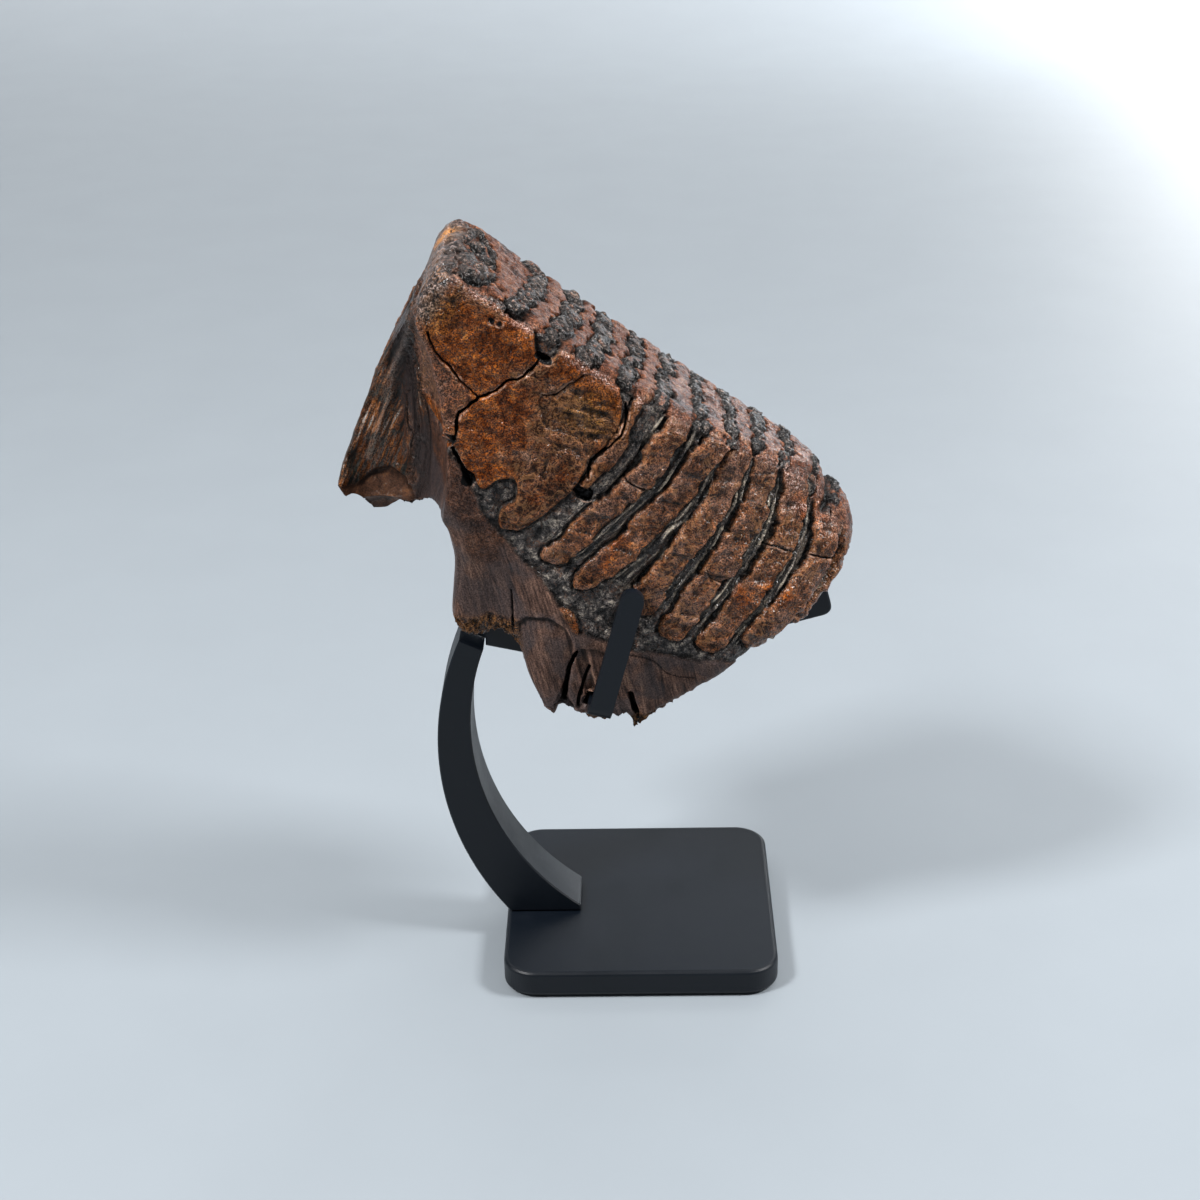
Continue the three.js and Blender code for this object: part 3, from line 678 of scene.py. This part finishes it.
def tooth_surface(points, normals):
    """Relief along the normal, and the masks that the material uses, for points of the bare shape.

    across and down run across and along the fibres. The other masks are shares from 0 to 1, but
    for island, crack, loop and relief, which are depths and distances in millimetres.
    """
    x, y, z = points.T
    along, below = tooth_place(points)
    places = stacked(along, below)
    plates = plate_number(along, below)
    front, back = (side_surface(points, places, plates, side) for side in SIDES)
    to_back = smoothstep(-0.3, 0.3, normals[:, 1])
    relief, island, crack, strand, groove, tight = (mix(a, b, to_back) for a, b in zip(front, back))

    foot = mix(np.interp(along, *zip(*FRONT_ROOT_LINE)),
               np.interp(along, *zip(*BACK_ROOT_LINE)), to_back)
    foot += np.interp(along, [-45, -25], [1.2, 3.5]) * fractal(points, 9, 60, 4)
    root = smoothstep(-0.8, 0.8, below - foot)
    endwise = smoothstep(0.55, 0.85, np.abs(normals[:, 0]))
    root_across = mix(x, y, endwise) + 0.22 * z
    root_fibre = fibre_relief(points, root_across, z, 70)
    rough_root = smoothstep(126, 116, z)
    root_cut = mix(crack_depth(places, FRONT_CRACKS)[1], crack_depth(places, BACK_CRACKS)[1],
                   to_back)
    root_relief = mix(0.3, 0.9, rough_root) * root_fibre - ROOT_SINK - root_cut
    ragged = places + 0.8 * fractal(points, 5, 74, 3)[:, None]
    pillar = outline_depth(ragged, ROOT_PILLAR)
    root_relief -= 1.6 * smoothstep(-0.3, 0.5, pillar) * np.exp(-np.maximum(pillar, 0) / 4)
    slivers = smoothstep(-0.4, 0.8, outline_depth(ragged, ROOT_SLIVERS)) * (1 - to_back)
    sliver_grain = stacked(root_across, 0.12 * z, 0)
    root_relief -= 1.7 * slivers * (0.3 + np.abs(noise(sliver_grain, 2.6, 77)))
    relief = mix(relief, root_relief, root)

    hollow = hollow_share(points, normals)
    across_streaks = x * math.cos(STREAK_LEAN) - z * math.sin(STREAK_LEAN)
    hollow_across = mix(across_streaks, y + 0.15 * z, endwise)
    hollow_fibre = fibre_relief(points, hollow_across, z, 80)
    face_line = np.interp(x, *zip(*BROKEN_FACE))
    face = hollow * smoothstep(0.6, -0.6, z - face_line + 0.8 * fractal(points, 4, 84, 3))
    # inner: the deep inner zone of the hollow and the low floor beside it, where the relief sinks
    # and the material paints shade
    inner = smoothstep(-85, -76, x + 0.12 * (z - 210)) * smoothstep(-72, -76, x)
    inner = np.maximum(inner, np.exp(-(((x + 71) / 8) ** 2 + ((z - 194) / 17) ** 2) ** 2))
    low_floor = smoothstep(-81, -75, x) * smoothstep(-62, -68, x) * smoothstep(205, 197, z)
    inner = np.maximum(inner, low_floor)
    rib = hump(line_distance(points[:, [0, 2]], HOLLOW_RIB), 1.5)
    gnarls = fractal(stacked(hollow_across, 0.3 * z, y), 3.2, 88, 3)
    hollow_relief = 1.8 * hollow_fibre * (1 - 0.7 * inner) + 1.4 * gnarls * (1 - inner)
    hollow_relief += 1.3 * rib - HOLLOW_SINK - 0.8 * inner
    hollow_relief = mix(hollow_relief, 0.35 * fractal(points, 7, 86, 3) - FACE_SINK, face)
    relief = mix(relief, hollow_relief, hollow) * mix(0.2, 1, smoothstep(-103, -93, x))

    broken = broken_share(points)
    hanging = points * (1, 1, 0.4)
    sponge = 1.3 * np.abs(noise(hanging, 2.4, 90)) + 0.9 * np.abs(noise(hanging, 1.2, 91))
    relief = mix(relief, relief * 0.5 - 1.2 * sponge, broken)

    facing = normals @ CROWN_UP + 0.12 * fractal(points, 4, 65, 3)
    near_top = smoothstep(14, 9, below)
    chew = smoothstep(0.5, 0.66, facing) * near_top
    # polish: band along the front edge of the crown, made glossy, with painted highlights in the
    # material
    polish = smoothstep(0.2, 0.4, facing) * smoothstep(0.85, 0.65, facing) * near_top
    chew_relief, loop, gap = chewing_surface(points, along)
    relief = mix(relief, chew_relief - CHEW_SINK, chew)

    slate = smoothstep(-66, -70, along + 2 * fractal(points, 5, 66, 3)) * smoothstep(19, 14, below)
    olive = np.maximum(0.6 * hump(along + 67, 5) * hump(below - 11, 8),
                       0.8 * hump(along + 9, 9) * hump(below - 14, 8))
    skin = np.maximum.reduce([outline_depth(ragged, outline) for outline in RUSTY_SKIN])
    rust = smoothstep(-0.8, 0.6, skin) * root * (1 - to_back)
    amber = hump(along + 75, 3.2) * hump(y - 11, 6) * hump(below, 5)
    fibrous = np.maximum(root, hollow)
    wedge = smoothstep(-1, 1, outline_depth(places, FRONT_LOBES[-1][0])) * (1 - to_back)
    masks = {
        "rib": rib * hollow, "island": island, "crack": mix(crack, np.maximum(crack, 0.3), hollow),
        "strand": strand, "wedge": wedge, "groove": groove, "tight": tight, "root": root,
        "hollow": hollow, "face": face, "inner": inner * fibrous, "broken": broken, "chew": chew,
        "polish": polish * smoothstep(0, 1, island), "loop": loop, "gap": gap, "rust": rust,
        "slate": slate, "olive": olive * (1 - to_back), "amber": amber, "relief": relief,
        "across": mix(mix(plates * PLATE_PITCH, root_across, root), hollow_across, hollow),
        "down": mix(below, z, fibrous),
    }
    return relief, masks


def torn_edges(points):
    """Height by which the ragged lower edges of the roots are bitten away."""
    x, y, z = points.T
    flat = stacked(x, y, 0)
    bites = 1.8 * np.abs(noise(flat, (4.5, 9, 9), 95)) + 1.6 * np.abs(noise(flat, (1.9, 5, 5), 96))
    rear = smoothstep(*REAR_TORN, z) * smoothstep(*REAR_TORN_X, x)
    return bites * np.maximum(smoothstep(*TIPS_TORN, z), rear)


def finger_band(x, z, low):
    """True behind or in front of a leaning finger. low is the finger's lower corner."""
    foot_x = low[0] + FINGER_WIDTH / 2 * math.cos(FINGER_LEAN)
    centre = foot_x + (z - low[2]) * math.tan(FINGER_LEAN)
    return np.abs(x - centre) * math.cos(FINGER_LEAN) < FINGER_WIDTH / 2 + 0.6


def kept_clear(points):
    """Holds the tooth off the two fingers that stand in front of it and behind it."""
    x, y, z = points.T
    for name, side in (("front_finger", -1), ("rear_finger", 1)):
        low, high = (np.array(corner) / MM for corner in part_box(name))
        near = (x > low[0] - 1) & (x < high[0] + 1) & (z > low[2] - 1) & (z < high[2] + 1.2)
        inner = (low[1] + FINGER_THICK if side < 0 else high[1] - FINGER_THICK) - side * FINGER_GAP
        y = np.where(near & (y * side > inner * side) & finger_band(x, z, low), inner, y)
    return stacked(x, y, z)


def dip_depth(points, triangles):
    """How far each point lies below its surroundings: positive in dips, negative on edges."""
    edges, _ = edge_list(triangles)
    around = points
    for _ in range(DIP_ROUNDS):
        around = spread_to_neighbours(around, edges, len(points))
    return ((around - points) * point_normals(points, triangles)).sum(axis=1)


def wanted_edge(points):
    """Edge length of the fine mesh: shortest by the cracks, longer at the back."""
    along, below = tooth_place(points)
    places = stacked(along, below)
    size = np.where(points[:, 1] < 12, FRONT_EDGE, BACK_EDGE)
    front = points[:, 1] < -8
    nearest = np.full(len(points), FAR)
    nearest[front] = crack_depth(places[front], FRONT_CRACKS)[0]
    size = np.where(below < 7, CHEW_EDGE, size)
    return np.where(nearest < 0.9, CRACK_EDGE, size)


def keep_inside(mesh, box):
    places = np.empty(len(mesh.vertices) * 3, np.float32)
    mesh.vertices.foreach_get("co", places)
    inside = np.clip(places.reshape(-1, 3), *(np.array(corner, np.float32) for corner in box))
    mesh.vertices.foreach_set("co", inside.ravel())


def make_tooth():
    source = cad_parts["tooth"].data.copy()
    even = with_modifier(source, "REMESH", mode="VOXEL", voxel_size=VOXEL * MM)
    points, triangles = mesh_arrays(even)
    points = smoothed(points, triangles, FIRST_ROUNDS)
    points, triangles = refined(points, triangles, wanted_edge)
    points = smoothed(points, triangles, LAST_ROUNDS)
    normals = point_normals(points, triangles)
    relief, masks = tooth_surface(points, normals)
    shaped = points + normals * relief[:, None]
    shaped[:, 2] += torn_edges(points)
    shaped = kept_clear(shaped)
    masks["dip"] = dip_depth(shaped, triangles)
    mesh = mesh_from_arrays("tooth_stone", shaped, triangles)
    for name, values in masks.items():
        layer = mesh.attributes.new(name, "FLOAT", "POINT")
        layer.data.foreach_set("value", np.asarray(values, np.float32))
    mesh = with_modifier(mesh, "DECIMATE", ratio=min(1, MESH_LIMIT / len(triangles)))
    mesh.name = "tooth_stone"
    keep_inside(mesh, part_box("tooth"))
    mesh.shade_smooth()
    piece = new_object("tooth_stone", mesh)
    wear(piece, tooth_material())
    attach(piece, "root")
    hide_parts("tooth")
    return piece


# ---- materials -----------------------------------------------------------------------------------

def colour(red, green, blue):
    """Linear colour from 0-255 display values."""
    def linear(value):
        share = value / 255
        return share / 12.92 if share <= 0.04045 else ((share + 0.055) / 1.055) ** 2.4
    return (linear(red), linear(green), linear(blue), 1)


class Value:
    """What a node gives. Sums, differences and products of values make new nodes."""

    def __init__(self, finish, socket):
        self.finish, self.socket = finish, socket

    def __add__(self, other):
        return self.finish.math("ADD", self, other)

    def __sub__(self, other):
        return self.finish.math("SUBTRACT", self, other)

    def __mul__(self, other):
        return self.finish.math("MULTIPLY", self, other)

    __radd__, __rmul__ = __add__, __mul__


class Finish:
    """A material built from nodes. Sizes are in millimetres."""

    def __init__(self, name):
        self.material = bpy.data.materials.new(name)
        self.material.use_nodes = True
        self.tree = self.material.node_tree
        self.surface = next(n for n in self.tree.nodes if n.type == "BSDF_PRINCIPLED")
        place = self.node("TexCoord", {}, "Object")
        self.place = self.vector("MULTIPLY", place, (1 / MM, 1 / MM, 1 / MM))

    def feed(self, socket, value):
        if isinstance(value, Value):
            self.tree.links.new(value.socket, socket)
        else:
            socket.default_value = value

    def node(self, kind, inputs, result=0, **settings):
        """What a new node gives, after its settings and inputs are filled in."""
        node = self.tree.nodes.new("ShaderNode" + kind)
        for name, value in settings.items():
            setattr(node, name, value)
        for socket, value in inputs.items():
            self.feed(node.inputs[socket], value)
        return Value(self, node.outputs[result])

    def math(self, operation, a, b=0.0):
        return self.node("Math", {0: a, 1: b}, operation=operation)

    def vector(self, operation, a, b):
        return self.node("VectorMath", {0: a, 1: b}, operation=operation)

    def scaled(self, tint, factor):
        return self.node("VectorMath", {0: tint, "Scale": factor}, operation="SCALE")

    def combine(self, x, y, z):
        return self.node("CombineXYZ", {0: x, 1: y, 2: z})

    def attribute(self, name):
        return self.node("Attribute", {}, "Fac", attribute_name=name)

    def noise(self, size, detail=3.0, rough=0.6, place=None, distort=0.0):
        inputs = {"Vector": place or self.place, "Scale": 1 / size, "Detail": detail,
                  "Roughness": rough, "Distortion": distort}
        return self.node("TexNoise", inputs, "Fac")

    def cells(self, size, feature="F1", place=None):
        inputs = {"Vector": place or self.place, "Scale": 1 / size}
        return self.node("TexVoronoi", inputs, "Distance", feature=feature)

    def step(self, value, low, high, start=0.0, end=1.0):
        """Smooth ramp from start at low to end at high."""
        inputs = {"Value": value, "From Min": low, "From Max": high, "To Min": start, "To Max": end}
        return self.node("MapRange", inputs, "Result", interpolation_type="SMOOTHSTEP")

    def blend(self, a, b, share):
        return self.node("Mix", {"Factor": share, 6: a, 7: b}, 2, data_type="RGBA")

    def layered(self, base, *layers):
        """base under layers of colour, each with the share that it covers."""
        for tint, share in layers:
            base = self.blend(base, colour(*tint) if isinstance(tint, tuple) else tint, share)
        return base

    def ramp(self, value, *stops):
        """Colour ramp: each stop is a position and its red, green and blue."""
        node = self.tree.nodes.new("ShaderNodeValToRGB")
        self.feed(node.inputs["Fac"], value)
        elements = node.color_ramp.elements
        while len(elements) < len(stops):
            elements.new(1)
        for element, (position, *tint) in zip(elements, stops):
            element.position = position
            element.color = colour(*tint)
        return Value(self, node.outputs["Color"])

    def bump(self, height, depth):
        """Bump of the given depth in millimetres."""
        inputs = {"Strength": 1, "Distance": depth * MM, "Height": height}
        return self.node("Bump", inputs, "Normal")

    def finish(self, **settings):
        """Feeds the shader's sockets, whose names have _ for each space here."""
        for name, value in settings.items():
            self.feed(self.surface.inputs[name.replace("_", " ")], value)
        return self.material


def tooth_material():
    f = Finish("fossil_tooth_stone")
    step = f.step
    (island, crack, strand, groove, root, hollow, face, inner, broken, chew, polish, loop, gap,
     slate, olive, amber, relief, across, down, tight, wedge, rust, rib, dip) = map(
         f.attribute, ("island crack strand groove root hollow face inner broken chew polish loop "
                       "gap slate olive amber relief across down tight wedge rust rib dip").split())
    grain_place = f.combine(across, down * 0.10, down * 0.03)
    streaks = f.noise(0.8, 2, 0.6, grain_place)
    wide_streaks = f.noise(3.6, 3, 0.6, grain_place)
    grit = f.noise(0.5, 1, 0.6)
    specks = f.noise(1.1, 2, 0.6)
    mottle = f.noise(5.5, 5, 0.66, distort=0.8)
    clouds = f.noise(21, 3, 0.55)
    wander = (specks - 0.5) * 1.4
    patchy = step(tight, 0.3, 0.7)
    sharp_grit = step(grit, 0.30, 0.70)
    grain_tone = (step(grit, 0.30, 0.72, 0.15, 2.2) * step(specks, 0.32, 0.66, 0.5, 1.45)
                  * step(patchy, 0, 1, 1.0, 1.14))
    veins = step(f.math("ABSOLUTE", f.noise(5.0, 3, 0.55, distort=1.2) - 0.5), 0.045, 0.012)

    # Smooth cement on the patches and ridges
    orange = f.ramp(mottle, (0.32, 56, 22, 3), (0.46, 94, 42, 3), (0.58, 130, 66, 11),
                    (0.70, 166, 104, 46))
    reddish = f.ramp(mottle, (0.34, 36, 20, 11), (0.48, 74, 42, 22), (0.60, 104, 62, 36),
                     (0.70, 130, 94, 74))
    slate_grey = f.ramp(specks, (0.36, 34, 30, 29), (0.5, 70, 58, 54), (0.62, 116, 100, 94))
    mauve = f.math("MAXIMUM", step(f.noise(13, 3, 0.55), 0.52, 0.62) * (patchy * 0.4 + 0.1),
                   wedge * step(mottle, 0.4, 0.55, 0.9, 0.5))
    smooth_brown = f.layered(
        orange,
        (reddish, step(clouds + patchy * 0.12, 0.46, 0.56)),
        ((94, 69, 58), mauve),
        (slate_grey, slate),
        ((106, 76, 34), olive * step(specks, 0.4, 0.6, 0.25, 0.9)))
    # lip: painted highlight, a lighter rim just inside the edges of the ridges and patches
    lip = step(island + wander, 0.1, 0.5) * step(island, 1.3, 0.5)
    smooth_brown = f.layered(
        f.scaled(smooth_brown, grain_tone),
        ((168, 118, 78), veins * step(clouds, 0.46, 0.56, 0.1, 0.45)),
        ((158, 102, 66), lip * step(grit, 0.35, 0.6) * 0.25))

    # Pebbled charcoal over the roots, and the stringy grooves between the ridges
    bend = f.combine(wander, mottle * 4, wander * -1)
    seams = step(f.cells(2.8, "DISTANCE_TO_EDGE", f.vector("ADD", f.place, bend)), 0.11, 0.03)
    pebbly = f.noise(3.2, 4, 0.7) * 0.6 + specks * 0.2 + grit * 0.2
    stringy = streaks * 0.35 + grit * 0.35 + specks * 0.3
    fibres = groove * step(streaks, 0.50, 0.60) * step(mottle, 0.42, 0.52, 0.2, 0.9)
    strings = f.math("MAXIMUM", strand * step(streaks, 0.42, 0.60) * 0.95, fibres)
    # between: painted shade, near-black deep in the grooves where no strand lies
    between = step(groove, 0.6, 1.0) * step(strand, 0.35, 0.08)
    rusty = step(mottle, 0.50, 0.60) * step(grit, 0.35, 0.6) * step(groove, 1, 0, 0.25, 0.8)
    charcoal = f.layered(
        f.ramp(mix(pebbly, stringy, groove), (0.37, 9, 9, 10), (0.45, 53, 50, 49),
               (0.53, 104, 97, 94), (0.61, 200, 186, 170)),
        ((192, 178, 156), strings * step(grit, 0.3, 0.6, 0.3, 1.0)),
        ((9, 9, 10), seams * step(groove, 1, 0) * 0.35),
        ((8, 8, 9), between * 0.6),
        ((104, 66, 42), rusty))

    # Roots, hollow, broken face and spongy ends
    root_brown = f.layered(
        f.ramp(wide_streaks * 0.5 + streaks * 0.5, (0.36, 40, 30, 27), (0.46, 85, 63, 54),
               (0.57, 117, 88, 75), (0.68, 150, 118, 98)),
        ((67, 61, 62), step(clouds, 0.54, 0.46) * 0.6))
    # Painted shade: darker roots in the inner zone of the hollow
    root_brown = f.layered(f.scaled(root_brown, step(grit, 0.30, 0.70, 0.6, 1.6)),
                           ((46, 40, 41), inner * 0.6))
    skin = f.blend(f.scaled(reddish, grain_tone), root_brown, step(specks, 0.42, 0.58, 0.1, 0.6))
    root_brown = f.blend(root_brown, skin, rust * 0.85)
    hollow_brown = f.layered(
        f.ramp(wide_streaks * 0.7 + streaks * 0.3, (0.36, 7, 8, 8), (0.44, 36, 35, 30),
               (0.49, 96, 52, 20), (0.54, 50, 55, 56), (0.59, 134, 78, 32), (0.67, 160, 156, 150)),
        ((38, 46, 44), step(mottle, 0.50, 0.58) * 0.6))
    # Painted shade: darker in the inner zone of the hollow
    hollow_brown = f.layered(
        f.scaled(hollow_brown, step(grit, 0.32, 0.68, 0.4, 1.7)),
        ((50, 43, 43), inner * 0.9),
        # Painted highlight: light grey specks along the raised rib
        ((120, 108, 100), rib * sharp_grit * 0.6))
    torn = f.ramp(mottle * 0.7 + grit * 0.3, (0.36, 46, 33, 27), (0.52, 90, 60, 44),
                  (0.66, 126, 82, 52))
    hanging = f.vector("MULTIPLY", f.place, (1, 1, 0.4))
    spongy = f.ramp(f.cells(1.2, place=hanging) * 0.5 + sharp_grit * 0.5, (0.22, 20, 12, 8),
                    (0.42, 76, 46, 28), (0.66, 134, 92, 54))

    # Chewing surface: cement between the worn plates, dentine in them, dark crumbs with painted
    # glints at their rims
    cement = f.ramp(mottle, (0.36, 56, 36, 27), (0.46, 100, 58, 39), (0.56, 130, 80, 54),
                    (0.68, 152, 108, 82))
    cement_tone = step(grit, 0.3, 0.7, 0.4, 1.7) * step(specks, 0.34, 0.6, 0.6, 1.25)
    dentine = f.layered(
        f.ramp(specks * 0.6 + mottle * 0.4, (0.40, 26, 23, 22), (0.46, 72, 63, 58),
               (0.54, 106, 92, 85), (0.62, 152, 130, 114)),
        ((116, 66, 42), step(mottle, 0.52, 0.6) * step(specks, 0.4, 0.55)))
    outline = loop + wander * 0.7
    rim = step(outline, -0.7, -0.3) * step(outline, 1.7, 1.0)
    # rim_colour: dark crumbs at the rims of the worn plates, with painted glints as its light
    # specks
    rim_colour = f.ramp(grit * 0.5 + specks * 0.5, (0.43, 7, 7, 8), (0.54, 30, 29, 30),
                        (0.62, 136, 132, 128))
    worn = f.layered(
        f.scaled(cement, cement_tone),
        (f.scaled(dentine, step(grit, 0.3, 0.7, 0.35, 1.7)), step(outline, -0.2, 0.2)),
        (rim_colour, rim * 0.85),
        ((9, 8, 8), seams * step(outline, -0.3, 0.3, 0.25, 0.8)),
        # Painted shade: near-black in the gaps along the broken edges, the ledge and the cleft
        ((7, 7, 7), gap),
        (slate_grey, slate * step(mottle, 0.4, 0.5, 0.9, 0.6)))
    # Painted highlight: whitish glints painted along the polished band at the front edge of the
    # crown
    painted_edge_glints = (polish * step(specks, 0.36, 0.56)
                   * step(f.noise(8, 2, 0.5), 0.48, 0.58, 0.2, 1.0) * step(slate, 1, 0))
    painted_glint_tint = f.ramp(grit, (0.42, 110, 70, 52), (0.54, 168, 118, 98), (0.66, 222, 204, 198))

    # Everything together, then painted shade in the cracks, pits, deepest parts and dips, and
    # painted highlights on the crack lips and edges
    # chipped: painted highlight, lighter colour along the lips of the cracks
    chipped = (step(crack, 0.1, 0.3) * step(crack, 0.95, 0.5)
               * step(f.noise(7, 2, 0.5), 0.46, 0.56) * step(root + hollow + chew, 0.5, 0))
    base = f.layered(
        charcoal,
        (smooth_brown, step(island + wander * 0.6, -0.2, 0.15)),
        (root_brown, root),
        (f.blend(hollow_brown, torn, face), hollow),
        (spongy, broken),
        (worn, chew),
        (painted_glint_tint, painted_edge_glints * 0.8),
        ((232, 152, 62), amber * step(specks, 0.36, 0.5)),
        ((196, 158, 136), chipped * step(specks, 0.38, 0.56) * 0.6),
        # Painted shade: near-black in the cracks and pits
        ((8, 7, 7), step(crack + wander * 0.25, 0.12, -0.12)),
        # Painted shade: near-black where the relief lies deepest
        ((9, 8, 8), step(relief, -2.6, -4.4) * 0.85))
    # Painted shade: darker in dips and a little darker on flat ground than on edges, which stay
    # lightest
    base = f.scaled(base, step(dip, -0.25, 0.0, 1.0, 0.72) * step(dip, 0.0, 0.25, 1.0, 0.35))

    # Grain, roughness and varnish
    smooth_share = step(island, -0.2, 0.4) * step(root + hollow + chew, 1, 0)
    soft_share = root * step(broken, 1, 0)
    rough_height = grit * 0.35 + streaks * 0.45 + specks * 0.6 + seams * -0.5
    smooth_height = grit * 0.3 + specks * mix(0.8, 0.5, patchy) + veins * 0.06
    soft_height = grit * 0.12 + streaks * 0.25
    height = mix(mix(rough_height, smooth_height, smooth_share), soft_height, soft_share)
    wet = f.math("MAXIMUM", polish, groove * 0.7)
    wet = f.math("MAXIMUM", wet, chew * step(outline, -0.8, 0.4) * 0.35)
    gloss = (step(soft_share, 0, 1, 0.58, 0.15) * step(mottle, 0.42, 0.60, 0.12, 1)
             * step(chew, 0, 1, 1, 0.4))
    varnish_height = f.noise(2.2, 2, 0.6) * 0.7 + specks * 0.35
    return f.finish(Base_Color=base, Normal=f.bump(height, 1.0), Specular_IOR_Level=0.09,
                    Roughness=step(specks, 0.35, 0.65, 0.28, 0.44) + soft_share * 0.1,
                    Coat_Weight=gloss + wet * 0.4, Coat_Roughness=0.1,
                    Coat_Normal=f.bump(varnish_height, 1.3))


def steel_material():
    """Satin black paint with a fine orange-peel skin and a little dust."""
    f = Finish("black_steel_paint")
    tone = f.noise(22, 4, 0.6)
    skin = f.noise(0.35, 3, 0.55)
    dust = f.step(f.noise(0.7, 2, 0.5), 0.72, 0.8) * 0.2
    black = f.layered(f.ramp(tone, (0.3, 3, 9, 17), (0.7, 6, 13, 22)), ((70, 72, 74), dust))
    return f.finish(Base_Color=black, Roughness=f.step(tone, 0.3, 0.7, 0.36, 0.46) + skin * 0.06,
                    Normal=f.bump(skin, 0.03), Specular_IOR_Level=0.33)


def felt_material():
    f = Finish("black_felt")
    fibre = f.noise(0.5, 5, 0.75, distort=1.5)
    cloth = f.ramp(fibre, (0.3, 16, 17, 18), (0.6, 38, 39, 41), (0.8, 70, 71, 73))
    return f.finish(Base_Color=cloth, Roughness=f.step(fibre, 0.3, 0.7, 0.9, 1.0),
                    Normal=f.bump(fibre, 0.25))


def zinc_material():
    f = Finish("zinc_plated_steel")
    turned = f.noise(1.5, 3, 0.6)
    tint = f.ramp(turned, (0.3, 150, 152, 155), (0.7, 196, 194, 186))
    return f.finish(Base_Color=tint, Roughness=f.step(turned, 0.3, 0.7, 0.24, 0.4),
                    Normal=f.bump(f.noise(0.4), 0.02), Metallic=1.0)


# ---- stand ---------------------------------------------------------------------------------------

def finish_stand():
    steel, felt, zinc = steel_material(), felt_material(), zinc_material()
    for name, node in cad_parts.items():
        if name == "tooth":
            continue
        chosen = felt if name == "felt_pad" else zinc if name.startswith("foot_screw") else steel
        wear(node, chosen)


# ---- floor, lights and camera --------------------------------------------------------------------

def make_floor():
    """A pale sweep: floor in front, rising in a wide curve far behind."""
    back, front, side, radius, rise = 1.6, 3.2, 3.2, 1.1, 2.4
    profile = [(-front, 0.0)]
    for angle in np.linspace(0, math.pi / 2, CURVE_POINTS):
        profile.append((back + radius * math.sin(angle), radius * (1 - math.cos(angle))))
    profile.append((back + radius, rise))
    points = [(x, y, z) for y, z in profile for x in (-side, side)]
    faces = [(2 * i, 2 * i + 1, 2 * i + 3, 2 * i + 2) for i in range(len(profile) - 1)]
    mesh = bpy.data.meshes.new("floor")
    mesh.from_pydata(points, [], faces)
    mesh.shade_smooth()
    f = Finish("pale_floor")
    paper = f.noise(60, 4, 0.5)
    tint = f.ramp(paper, (0.3, 139, 146, 152), (0.7, 141, 148, 154))
    mesh.materials.append(f.finish(Base_Color=tint, Roughness=0.55))
    new_object("floor", mesh)


def make_lights():
    for name, place, aim, width, height, power in LIGHTS:
        light = bpy.data.lights.new(name, "AREA")
        light.shape = "RECTANGLE"
        light.size, light.size_y = width, height
        light.energy = power
        holder = new_object(name, light)
        holder.location = place
        holder.rotation_euler = (Vector(aim) - Vector(place)).to_track_quat("-Z", "Y").to_euler()
    world = bpy.data.worlds.new("studio")
    world.use_nodes = True
    background = next(n for n in world.node_tree.nodes if n.type == "BACKGROUND")
    background.inputs["Color"].default_value = colour(206, 214, 222)
    background.inputs["Strength"].default_value = 0.2
    bpy.context.scene.world = world
    bpy.context.scene.view_settings.view_transform = "Standard"


def make_camera():
    camera = bpy.data.cameras.new("camera")
    camera.sensor_width = 36
    camera.lens = CAMERA_LENS
    camera.clip_end = 20
    forward = Vector(CAMERA_FORWARD).normalized()
    level = forward.cross(Vector((0, 0, 1))).normalized()
    upright = level.cross(forward)
    right = level * math.cos(CAMERA_ROLL) + upright * math.sin(CAMERA_ROLL)
    up = upright * math.cos(CAMERA_ROLL) - level * math.sin(CAMERA_ROLL)
    turn = Matrix((right, up, -forward)).transposed().to_4x4()
    holder = new_object("camera", camera)
    holder.matrix_world = Matrix.Translation(CAMERA_PLACE) @ turn
    bpy.context.scene.camera = holder


make_camera()
make_lights()
make_floor()
finish_stand()
make_tooth()
